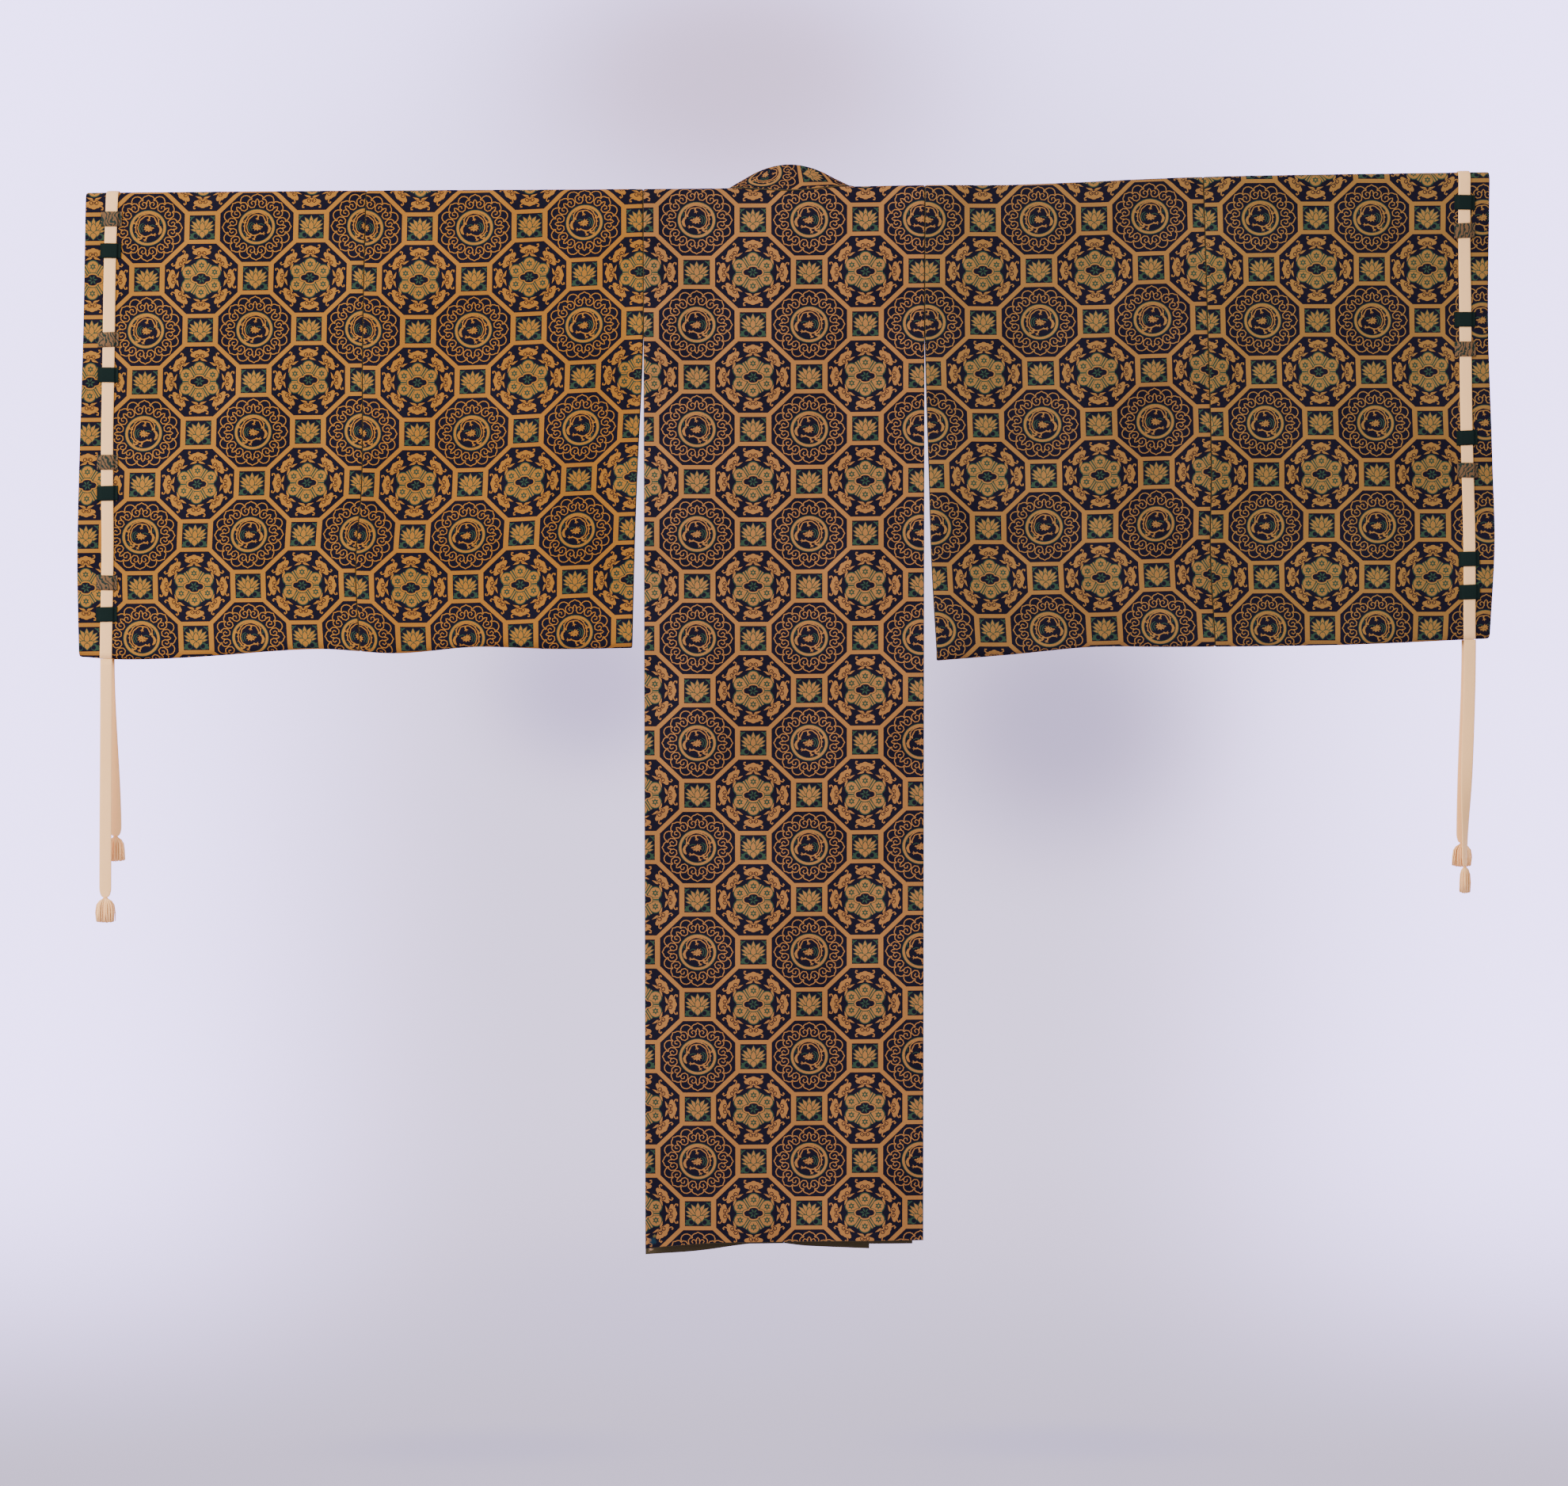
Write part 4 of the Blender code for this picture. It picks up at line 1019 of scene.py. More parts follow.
HEM_CORNER = (
    Worn((-0.187, -0.011, -1.484), 0.0060, (0.009, 0.027, 0.045)),
    Worn((-0.184, -0.011, -1.477), 0.0026, (0.110, 0.085, 0.028)),
    Worn((-0.040, -0.011, -1.483), 0.0026, (0.110, 0.040, 0.014)),
)
PATCH = (Worn((-0.190, 0.008, -1.4975), 0.0048, (0.52, 0.30, 0.18)),)
NAVY_SILK = finish_of("navy_silk", (0.0076, 0.0064, 0.0130), (0.0092, 0.0078, 0.0150), 620, 0.0,
                      worn=HEM_CORNER)
GREEN_SILK = finish_of("green_silk", (0.0235, 0.0500, 0.0280), (0.0180, 0.0400, 0.0230), 700, 0.05)
LINING_SILK = finish_of("lining_silk", (0.0430, 0.0320, 0.0150), (0.0500, 0.0370, 0.0180), 540, 0.05,
                        worn=PATCH)
GOLD_COLOURS = {
    "sleeve_left_outer": (0.330, 0.136, 0.0200),
    "sleeve_left_inner": (0.315, 0.126, 0.0180),
    "body": (0.300, 0.128, 0.0360),
    "sleeve_right_inner": (0.255, 0.120, 0.0320),
    "sleeve_right_outer": (0.250, 0.122, 0.0300),
}
GOLD_SILK = {}
for gold_name, gold in GOLD_COLOURS.items():
    deep = tuple(part * 0.84 for part in gold)
    GOLD_SILK[gold_name] = finish_of("gold_" + gold_name, gold, deep, 680, 0.05, 0.5, 0.10, worn=HEM_CORNER)
BRAID = finish_of("braid", (1.0, 0.60, 0.27), (0.95, 0.52, 0.21), 620, 0.1, 0.6, 0.04)
TASSEL_SILK = finish_of("tassel_silk", (1.0, 0.64, 0.30), (0.95, 0.50, 0.20), 400, 0.1, 0.3, 0.08)
THREAD = finish_of("binding_thread", (0.95, 0.52, 0.22), (0.72, 0.34, 0.13), 500, 0.1, 0.5, 0.1, True)
LOOP_GREEN = finish_of("loop_green", (0.0090, 0.0165, 0.0150), (0.0065, 0.0120, 0.0110), 620, 0.0, 0.6, 0.12,
                       True)


def cloth_finishes(gold):
    """Finishes of a brocade piece, in the order of its colour numbers."""
    return [NAVY_SILK, GREEN_SILK, GOLD_SILK[gold], LINING_SILK]


# Cloth pieces

BENDS = [QUARTER * k / 4 for k in range(-4, 5)]


def sleeve_shape(side, part):
    """Shape function of one loom width of a sleeve, its sides at the top, and its bottom's length."""
    sign = SIGN[side]
    fields = SleeveLine._fields
    table = SLEEVE_LINES[side]

    def line(name, depth):
        return along(table, depth, 0, fields.index(name))

    def sides(depth):
        middle = line("middle", depth)
        if part == "inner":
            found = line("armhole", depth) + sign * SEAM / 2, middle - sign * SEAM / 2
        else:
            found = middle + sign * SEAM / 2, line("wrist", depth)
        return found if sign > 0 else found[::-1]

    def across(p, s):
        top_left, top_right = sides(0.0)
        left, right = sides(np.maximum(np.abs(s) - QUARTER, 0.0))
        return between(left, right, (p - top_left) / (top_right - top_left))

    def shape(p, s, lift):
        x = across(p, s)
        return hang(x, s, lift, along(SLEEVE_BOTTOM[side], x))

    def room_below(p, s):
        x = across(p, np.full_like(s, 0.65))
        bottom = along(SLEEVE_BOTTOM[side], x)
        most = turn_depth(x, bottom)
        return QUARTER + most + half_gap(most) * math.pi / 2 - np.abs(s)

    return shape, sides(0.0), room_below


LEVEL = ((-0.60, 0.0), (0.60, 0.0))
WEAVES = {
    "sleeve_left_outer": Weave(-0.9025, -0.0552, 0.1546, 0.1456, True, ((-0.99, -0.0041), (-0.60, -0.0027))),
    "sleeve_left_inner": Weave(-0.5940, -0.0572, 0.1553, 0.1456, False, (
        (-0.600, -0.0038), (-0.518, -0.0054), (-0.440, -0.0044), (-0.362, -0.0019), (-0.283, 0.0022),
        (-0.204, 0.0049))),
    "body": Weave(-0.1242, -0.0497, 0.1600, 0.1485, False, ((-0.20, -0.0022), (0.20, -0.0058))),
    "sleeve_right_inner": Weave(0.2032, -0.0562, 0.1577, 0.1456, True, (
        (0.200, -0.0008), (0.282, -0.0014), (0.362, -0.0022), (0.440, -0.0049), (0.519, -0.0052),
        (0.589, -0.0065))),
    "sleeve_right_outer": Weave(0.6753, -0.0662, 0.1590, 0.1456, False, (
        (0.600, -0.0018), (0.675, -0.0022), (0.755, -0.0033), (0.834, -0.0046), (0.914, -0.0055),
        (1.000, -0.0060))),
    "overlap": Weave(0.0600, 0.1180, 0.1600, 0.1485, False, LEVEL),
    "collar": Weave(-0.0290, -0.0364, 0.1560, 0.1400, False, LEVEL),
}


def build_sleeves():
    """Two loom widths for each sleeve."""
    made = []
    for side in ("left", "right"):
        for part in ("inner", "outer"):
            node = f"sleeve_{side}_{part}"
            shape, (left, right), room_below = sleeve_shape(side, part)
            box = ((left, -0.70), (right, 0.70))
            edges = [lambda p, s, left=left: p - left, lambda p, s, right=right: right - p]
            outer = woven(WEAVES[node], *box)
            made.append(build_cloth(node + "_cloth", node, shape, box, edges, [room_below], outer,
                                    cloth_finishes(node), BENDS))
    return made


def hem_room(table, x, s):
    """Length of cloth left down to a hem."""
    return QUARTER + rod_height(x) - along(table, x) - np.abs(s)


def neck_room(reach, p, s):
    """How far a place is outside the neck opening."""
    across = (p - NECK_CENTRE) / NECK_HALF_WIDTH
    ahead = (s - FRONT_SEAM) / reach
    return (np.sqrt(across ** 2 + ahead ** 2) - 1) * reach


def build_back():
    """The back, from its hem over the shoulder to the seam in front."""
    def across(p, s):
        lower = np.maximum(-s - QUARTER, 0.0) / -BACK_HEM[0].z
        left = between(BACK_SIDES[0], BACK_HEM_SIDES[0], lower)
        right = between(BACK_SIDES[1], BACK_HEM_SIDES[1], lower)
        share = (p - BACK_SIDES[0]) / (BACK_SIDES[1] - BACK_SIDES[0])
        return between(left, right, share)

    def shape(p, s, lift):
        return hang(across(p, s), s, lift)

    box = ((BACK_SIDES[0], -1.53), (BACK_SIDES[1], FRONT_SEAM))
    edges = [
        lambda p, s: p - BACK_SIDES[0],
        lambda p, s: BACK_SIDES[1] - p,
        lambda p, s: hem_room(BACK_HEM, across(p, s), s) + 1.0 * (s > 0),
        lambda p, s: FRONT_SEAM - SEAM / 2 - s,
        lambda p, s: neck_room(NECK_BACK, p, s),
    ]
    outer = woven(WEAVES["body"], *box)
    return build_cloth("body_back_cloth", "body_back", shape, box, edges, [], outer,
                       cloth_finishes("body"), BENDS)


def build_fronts():
    """Both fronts and the overlap strips sewn to them."""
    pieces = (
        ("body_front_left", "over", FRONT_SEAM, -FRONT_SIDE, -SEAM / 2, "body"),
        ("overlap_left", "over", OVERLAP_LEFT_TOP, SEAM / 2, OVERLAP_LEFT, "overlap"),
        ("body_front_right", "under", FRONT_SEAM, SEAM / 2, FRONT_SIDE, "body"),
        ("overlap_right", "under", OVERLAP_RIGHT_TOP, OVERLAP_RIGHT, -SEAM / 2, None),
    )
    made = []
    for node, layer, top, left, right, weave in pieces:
        hem = OVER_HEM if layer == "over" else UNDER_HEM

        def across(p, s, layer=layer):
            narrower = between(1.0, UNDER_HEM_SIDE / FRONT_SIDE, np.clip(s / 1.5, 0.0, 1.0))
            return np.where((p > 0) & (layer == "under"), p * narrower, p)

        def shape(p, s, lift, across=across, layer=layer):
            return hang_front(across(p, s), s, lift, layer)

        box = ((left, top + SEAM / 2), (right, 1.55))
        edges = [
            lambda p, s, left=left: p - left,
            lambda p, s, right=right: right - p,
            lambda p, s, hem=hem, across=across: hem_room(hem, across(p, s), s),
            lambda p, s, top=top: s - top - SEAM / 2,
            lambda p, s: neck_room(NECK_FRONT, p, s),
        ]
        ground = plain(*box, NAVY)
        if node == "body_front_right":
            shown = 0.104
            hidden = plain(box[0], (shown, box[1][1]), NAVY)
            figured = woven(WEAVES[weave], (shown, box[0][1]), box[1])
            figured = halved(*figured, lambda p, s: p - shown, keep_below=False)
            ground = tuple(np.concatenate(pair) for pair in zip(hidden, figured))
        elif weave:
            ground = woven(WEAVES[weave], *box)
        made.append(build_cloth(node + "_cloth", node, shape, box, edges, [], ground,
                                cloth_finishes("body"), []))
    return made


def collar_profile(turn):
    """Points across the collar's band at each turn from the back's middle: lap, seam, belly and top."""
    behind = np.abs(turn) < math.pi / 2
    reach = np.where(behind, NECK_BACK, NECK_FRONT)
    x = NECK_CENTRE + NECK_HALF_WIDTH * np.sin(turn)
    s = FRONT_SEAM - reach * np.cos(turn)
    out = np.stack([np.sin(turn) / NECK_HALF_WIDTH, -np.cos(turn) / reach], axis=-1)
    out /= np.linalg.norm(out, axis=-1)[:, None]
    step = LAYER * over_share(x) * smooth((np.degrees(np.abs(turn)) - 40) / 50)
    lift = COLLAR_LIFT + np.where(s < QUARTER + CLOTH, step, 0.0)

    def lay(at_x, at_s, lift):
        front = hang_front(at_x, at_s, lift, "over")
        return np.where((at_s > QUARTER)[:, None], front, hang(at_x, at_s, lift))

    lap = lay(x + out[:, 0] * COLLAR_LAP, s + out[:, 1] * COLLAR_LAP, lift - 0.0006)
    seam = lay(x, s, lift - 0.0004)
    across = np.sin(turn)
    drop = COLLAR_ARC - np.sqrt(COLLAR_ARC ** 2 - (COLLAR_HALF_WIDTH * across) ** 2)
    side_drop = COLLAR_ARC - math.sqrt(COLLAR_ARC ** 2 - COLLAR_HALF_WIDTH ** 2)
    z = np.where(behind, between(COLLAR_TOP, COLLAR_SIDE, drop / side_drop),
                 between(COLLAR_FRONT, COLLAR_SIDE, across ** 2))
    swing = (COLLAR_Y[2] - COLLAR_Y[0]) / 2
    second = ((COLLAR_Y[0] + COLLAR_Y[2]) / 2 - COLLAR_Y[1]) / 2
    middle_y = (COLLAR_Y[0] + COLLAR_Y[2]) / 2 - second
    y = middle_y - swing * np.cos(turn) + second * np.cos(2 * turn)
    top = np.stack([NECK_CENTRE + COLLAR_HALF_WIDTH * across, y, z], axis=-1)
    belly = np.stack([np.sin(turn), -np.cos(turn), np.zeros_like(turn)], axis=-1) * 0.0015
    return np.stack([lap, seam, (seam + top) / 2 + belly, top], axis=1)


def collar_grid():
    """Points of the collar's middle, (along, across), with lengths along it."""
    first = COLLAR_OPENING + COLLAR_OPENING_HALF - 2 * math.pi
    last = COLLAR_OPENING - COLLAR_OPENING_HALF
    turns = np.linspace(first, last, 181)
    turns = np.where(turns < -math.pi, turns + 2 * math.pi, turns)
    profile = collar_profile(turns)
    rows = [profile[:, 0], profile[:, 1]]
    for share in np.arange(1, 9) / 8:
        low, middle, top = profile[:, 1], profile[:, 2], profile[:, 3]
        bow = 4 * share * (1 - share)
        straight = between(low, top, share)
        rows.append(straight + bow * (middle - (low + top) / 2))
    grid = np.stack(rows, axis=1)
    steps = np.linalg.norm(np.diff(grid[:, 5], axis=0), axis=1)
    lengths = np.concatenate([[0.0], np.cumsum(steps)])
    back = int(np.argmin(np.abs(turns)))
    return grid, lengths - lengths[back]


COLLAR_GRID, COLLAR_LENGTHS = collar_grid()
COLLAR_HEIGHT = 0.0480      # of the band above its seam, and the lap under it
COLLAR_ROWS = np.concatenate([[-COLLAR_LAP], COLLAR_HEIGHT * np.arange(0, 9) / 8])


def collar_shape(p, s, lift):
    """Points of the collar: p up the band from its seam, s along it to the left."""
    grid = COLLAR_GRID
    along_at = np.interp(-s, COLLAR_LENGTHS, np.arange(len(COLLAR_LENGTHS)))
    up_at = np.interp(p, COLLAR_ROWS, np.arange(len(COLLAR_ROWS)))
    i = np.clip(along_at.astype(int), 0, grid.shape[0] - 2)
    j = np.clip(up_at.astype(int), 0, grid.shape[1] - 2)
    u, v = (along_at - i)[:, None], (up_at - j)[:, None]
    a, b, c, d = grid[i, j], grid[i + 1, j], grid[i, j + 1], grid[i + 1, j + 1]
    middle = a * (1 - u) * (1 - v) + b * u * (1 - v) + c * (1 - u) * v + d * u * v
    ahead = (b - a) * (1 - v) + (d - c) * v
    up = (c - a) * (1 - u) + (d - b) * u
    normal = np.cross(ahead, up)
    normal /= np.maximum(np.linalg.norm(normal, axis=1)[:, None], 1e-12)
    return middle + normal * lift[:, None] * (COLLAR_WALL / CLOTH)


def build_collar():
    """The standing band round the neck."""
    low = (COLLAR_ROWS[0], -COLLAR_LENGTHS[-1])
    high = (COLLAR_ROWS[-1], -COLLAR_LENGTHS[0])
    edges = [
        lambda p, s: p - low[0],
        lambda p, s: high[0] - p,
        lambda p, s: s - low[1],
        lambda p, s: high[1] - s,
    ]
    turned, colours = woven(WEAVES["collar"], (-high[0], -high[1]), (-low[0], -low[1]), 1.0)
    return build_cloth("collar_cloth", "collar", collar_shape, (low, high), edges, [], (-turned, colours),
                       cloth_finishes("body"), [])


# Braid, loops and tassels

def tube(name, rings, finish, slot, node=None, closed=False):
    """A mesh through rings of points, all of one count, closed or with its ends filled."""
    rings = np.asarray(rings)
    count, size = rings.shape[:2]
    faces = []
    for row in range(count if closed else count - 1):
        after = (row + 1) % count
        for k in range(size):
            following = (k + 1) % size
            faces.append((row * size + k, row * size + following, after * size + following, after * size + k))
    if not closed:
        faces.append(tuple(range(size))[::-1])
        faces.append(tuple(range((count - 1) * size, count * size)))
    thing = make_object(name, rings.reshape(-1, 3), faces, [finish])
    if node:
        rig.replaces(thing, node)
    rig.slot(thing, slot)
    return thing


def tape_x(side, depth):
    """Where the tape's middle runs across at a depth."""
    return along(SLEEVE_LINES[side], depth, 0, SleeveLine._fields.index("tape"))


def tape_bottom(side):
    """Height at which the tape leaves the sleeve's bottom edge."""
    low_x = tape_x(side, SLEEVE_LINES[side][-1].depth)
    return float(along(SLEEVE_BOTTOM[side], low_x))


def tape_section(width, low, wall):
    """Ring across a flat braid as (offset across, lift): ribbed on top, flat below."""
    ribs = 15
    across = np.linspace(-1, 1, ribs)
    crown = wall * (1 - 0.30 * np.abs(across) ** 5) + 0.00012 * (np.arange(ribs) % 2)
    top = [(a * width / 2, low + rise) for a, rise in zip(across, crown)]
    return top + [(width / 2, low + wall * 0.25), (width * 0.46, low), (-width * 0.46, low),
                  (-width / 2, low + wall * 0.25)]


def build_held_tapes():
    """The flat braid on each sleeve, over the shoulder and down both faces."""
    offsets, lifts = np.array(tape_section(TAPE_WIDTH, CLOTH / 2 + SEAM, TAPE_WALL)).T
    for side in ("left", "right"):
        most = QUARTER + float(rod_height(tape_x(side, 0.0))) - tape_bottom(side)
        lengths = np.concatenate([np.linspace(-most, -0.024, 70), np.linspace(-0.021, 0.021, 15),
                                  np.linspace(0.024, most, 70)])
        rings = []
        for s in lengths:
            middle = float(tape_x(side, max(abs(s) - QUARTER, 0.0))) + 0.0006 * math.sin(s * 21)
            rings.append(hang(middle + offsets, np.full(len(offsets), s), lifts)[::-1])
        tube(f"braid_{side}", rings, BRAID, "braid", f"cord_tape_{side}")


def loop_brocade(name):
    """Tan scrolls on green silk."""
    made = finish_of(name, (0.150, 0.080, 0.036), (0.105, 0.055, 0.025), 420, 0.1, 0.6, 0.15, True)
    tree = made.node_tree
    base = tree.nodes["Principled BSDF"].inputs["Base Color"]
    swirl = {"Scale": 58.0, "Distortion": 12.0, "Detail Scale": 1.6, "Vector": object_place(tree)}
    swirl = add_node(tree, "TexWave", swirl, wave_type="RINGS", rings_direction="SPHERICAL")
    share = ranged(tree, swirl.outputs["Fac"], 0.34, 0.42)
    tree.links.new(mixed(tree, (0.012, 0.022, 0.017), base.links[0].from_socket, share), base)
    return made


LOOP_BROCADE = loop_brocade("loop_brocade")
LOOP_START = 0.0068      # length along the cloth from the shoulder line to a loop at depth zero


def build_loops():
    """Small silk bands over the tape, their ends sewn down beside it."""
    lay = CLOTH / 2 + SEAM
    top = CLOTH / 2 + 2 * SEAM + TAPE_WALL + SEAM
    offsets = np.concatenate([np.linspace(-LOOP_HALF_WIDTH, -0.0118, 4), np.linspace(-0.0108, -0.0088, 5),
                              np.linspace(-0.0070, 0.0070, 7), np.linspace(0.0088, 0.0108, 5),
                              np.linspace(0.0118, LOOP_HALF_WIDTH, 4)])
    under = between(lay, top, smooth((0.0112 - np.abs(offsets)) / 0.0022))
    under = under + 0.0004 * np.maximum(1 - (offsets / LOOP_SHOULDER) ** 2, 0)
    heights = np.linspace(-1, 1, 9)
    for side in ("left", "right"):
        for face in ("back", "front"):
            for k, depth in enumerate(LOOP_DEPTHS[side]):
                rows = []
                lean = math.radians(1.8 * math.sin(k * 2.3 + SIGN[side] + 2 * SIGN[face]))
                for height in heights:
                    wall = LOOP_WALL * (1 - 0.65 * abs(height) ** 8)
                    spread = offsets * (0.980 + 0.020 * height ** 2)
                    s = SIGN[face] * (depth + height * LOOP_HEIGHT / 2 + LOOP_START)
                    middle = float(tape_x(side, max(abs(s) - QUARTER, 0.0)))
                    over = hang(middle + spread, s + spread * math.sin(lean), under + wall)
                    below = hang(middle + spread, s + spread * math.sin(lean), under)
                    rows.append(np.concatenate([over, below[::-1]]))
                if face == "back":
                    rows = rows[::-1]
                kind = LOOP_KINDS[side][k]
                node = f"loop_{side}_{face}_{k + 1}"
                finish = LOOP_GREEN if kind == "green" else LOOP_BROCADE
                tube(node + "_band", rows, finish, "loop_" + kind, node)


STRANDS = 190
GOLDEN_TURN = 2.39996
StrandRow = namedtuple("StrandRow", "share flare girth")
STRAND_ROWS = (StrandRow(0.0, 0.0, 0.8), StrandRow(0.10, 0.48, 1.0), StrandRow(0.28, 0.84, 1.0),
               StrandRow(0.62, 0.98, 1.0), StrandRow(1.0, 1.0, 0.85))
HeadRow = namedtuple("HeadRow", "drop girth")
HEAD_ROWS = (HeadRow(-0.0012, 0.50), HeadRow(-0.0004, 0.78), HeadRow(0.0010, 0.95), HeadRow(0.0030, 1.0),
             HeadRow(0.0045, 0.96), HeadRow(0.0057, 0.84), HeadRow(0.0062, 0.70))
WINDINGS = 6            # of the thread round a tassel's head


def end_line(end, count=61):
    """Centres, widths and turns of a free tape end from the sleeve's bottom down."""
    sign = SIGN[end.face]
    low_x = tape_x(end.sleeve, SLEEVE_LINES[end.sleeve][-1].depth)
    bottom = tape_bottom(end.sleeve)
    length = sign * (QUARTER + turn_depth(low_x, bottom))
    root = hang(np.array([low_x]), np.array([length]), CLOTH / 2 + SEAM + TAPE_WALL / 2)[0]
    share = 1 - np.linspace(1, 0, count) ** 1.7
    left = end.length * (1 - share)
    rounded = np.sqrt(1 - (1 - np.clip(left / PINCH_LENGTH, 0.0, 1.0)) ** 2)
    width = between(END_PINCH, TAPE_WIDTH, rounded)
    x = between(root[0], end.foot_x, smooth(share))
    y = root[1] - sign * 0.0015 * smooth(share)
    z = bottom - SEAM - end.length * share
    turn = math.radians(end.turn) * smooth((share - 0.45) / 0.5)
    return np.stack([x, y, z], axis=1), width, turn


def across_of(turn):
    """Directions across and out of a tape turned about the upright."""
    cos, sin = math.cos(turn), math.sin(turn)
    return np.array([cos, sin, 0.0]), np.array([sin, -cos, 0.0])


def build_tape_ends():
    """Free ends of the tape, bound with thread at the foot."""
    made = []
    for end in TAPE_ENDS:
        centres, widths, turns = end_line(end)
        rings = []
        for centre, width, turn in zip(centres, widths, turns):
            along_x, out = across_of(turn)
            section = tape_section(width, -TAPE_WALL / 2, TAPE_WALL)
            rings.append([centre + along_x * offset + out * lift for offset, lift in section])
        name = f"{end.sleeve}_{end.face}"
        made.append((tube("braid_end_" + name, rings, BRAID, "braid", "tape_end_" + name), centres, end))
    return made


def beside(turned, angle, wide=1.0, deep=1.0):
    """A direction round the upright in a turned tape's frame, at an angle, on an oval if not round."""
    along_x, out = turned
    return along_x * math.cos(angle) * wide - out * math.sin(angle) * deep


def build_strands(name, end, foot, turned, chance):
    """A full brush of strands that flare from the knot and hang side by side."""
    along_x, out = turned
    points, faces = [], []
    for k in range(STRANDS):
        ring = math.sqrt((k + 0.5) / STRANDS)
        angle = k * GOLDEN_TURN
        upright = np.array([math.cos(angle), math.sin(angle)]) * ring
        root = upright * TASSEL_HEAD[:2] * 0.47
        tip = upright * (end.tassel_width / 2, TASSEL_DEPTH / 2)
        tip = tip * chance.uniform(0.86, 1.0) + chance.normal(0, 0.0006, 2)
        fall = end.tassel_length * chance.uniform(0.93, 1.0) * (1 - 0.05 * ring ** 2) + TASSEL_HEAD[2] * 0.65
        sway = chance.normal(0, 0.0006, 2)
        thick = chance.uniform(0.00066, 0.00084)
        start = len(points)
        for share, flare, girth in STRAND_ROWS:
            place = between(root, tip, flare) + sway * math.sin(share * math.pi)
            middle = foot + along_x * place[0] - out * place[1] - (0, 0, TASSEL_HEAD[2] * 0.25 + fall * share)
            for corner in range(4):
                points.append(middle + beside(turned, angle + corner * math.pi / 2) * thick * girth)
        for row in range(len(STRAND_ROWS) - 1):
            for corner in range(4):
                a = start + row * 4 + corner
                b = start + row * 4 + (corner + 1) % 4
                faces.append((b, a, a + 4, b + 4))
        faces.append(tuple(range(len(points) - 4, len(points)))[::-1])
    made = make_object("strands_" + name, points, faces, [TASSEL_SILK])
    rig.slot(made, "tassel")
    return made


def build_tassels():
    """A bound head and a brush of strands on each tape end."""
    made = []
    chance = np.random.default_rng(11)
    wide, deep = TASSEL_HEAD[0] / 2, TASSEL_HEAD[1] / 2
    for end in TAPE_ENDS:
        name = f"{end.sleeve}_{end.face}"
        centres, _, turns = end_line(end)
        turned = across_of(turns[-1])
        foot = centres[-1] - (0, 0, SEAM)
        strands = build_strands(name, end, foot, turned, chance)
        rings = []
        for drop, girth in HEAD_ROWS:
            ring = [foot - (0, 0, drop) + beside(turned, a, wide, deep) * girth
                    for a in np.arange(24) * math.pi / 12]
            rings.append(ring[::-1])
        head = tube("tassel_head_" + name, rings, THREAD, "tassel", "tassel_" + name)
        wraps = []
        for share in np.linspace(0, 1, 109):
            angle = share * 2 * math.pi * WINDINGS
            swell = 1.03 + 0.04 * math.sin(share * math.pi)
            middle = foot - (0, 0, 0.0012 + share * 0.0038) + beside(turned, angle, wide, deep) * swell
            outward = beside(turned, angle)
            wraps.append([middle + (outward * math.cos(a) + np.array([0, 0, math.sin(a)])) * 0.00032
                          for a in np.arange(6) * math.pi / 3])
        wrap = tube("binding_" + name, wraps, THREAD, "tassel")
        made.append((head, strands, wrap))
    return made


def build_closing():
    """Knot and cord loop that close the collar in front."""
    profile = collar_profile(np.array([COLLAR_OPENING, COLLAR_OPENING + 0.1]))
    seam, belly, top = profile[0, 1], profile[0, 2], profile[0, 3]
    ahead = profile[1, 2] - belly
    out = unit(np.cross(ahead, top - seam))
    if out[1] < 0:
        out = -out
    aside = unit(np.cross(out, [0, 0, 1.0]))
    rise = np.cross(aside, out)

    knot_middle = belly + out * (COLLAR_WALL / 2 + SEAM + KNOT_RADIUS)
    strand = 0.0014
    rings = []
    for t in np.arange(160) * math.pi / 80:
        swell = (KNOT_RADIUS - strand - 0.0004) * (0.93 + 0.07 * math.cos(8 * t))
        line = []
        for at in (t, t + 0.01):
            lean = 0.95 * math.sin(3 * at)
            round_it = aside * math.cos(3 * at) + rise * math.sin(3 * at)
            line.append(knot_middle + swell * (round_it * math.cos(lean) + out * math.sin(lean)))
        run = unit(line[1] - line[0])
        away = unit(line[0] - knot_middle)
        away = unit(away - run * np.dot(away, run))
        rings.append([line[0] + strand * (away * math.cos(a) + np.cross(run, away) * math.sin(a))
                      for a in np.arange(8) * math.pi / 4])
    tube("closing_knot", rings, THREAD, "braid", "collar_knot", closed=True)

    loop_middle = belly + out * (COLLAR_WALL / 2 + 2 * SEAM + LOOP_CORD)
    rings = []
    for angle in np.arange(96) * math.pi / 48:
        away = aside * math.cos(angle) + rise * math.sin(angle)
        middle = loop_middle + away * LOOP_RING
        ring = []
        for corner in range(12):
            twist = corner * math.pi / 6 + angle * 9
            girth = LOOP_CORD * (0.90 + 0.10 * abs(math.cos(corner * math.pi / 4)))
            ring.append(middle + girth * (away * math.cos(twist) + out * math.sin(twist)))
        rings.append(ring)
    tube("closing_loop", rings, THREAD, "braid", "collar_loop", closed=True)


def two_tones(tree, share, first, second):
    """A colour on a ramp between two."""
    tones = add_node(tree, "ValToRGB", {"Fac": share})
    for element, colour in zip(tones.color_ramp.elements, (first, second)):
        element.color = colour + (1.0,)
    return tones.outputs["Color"]


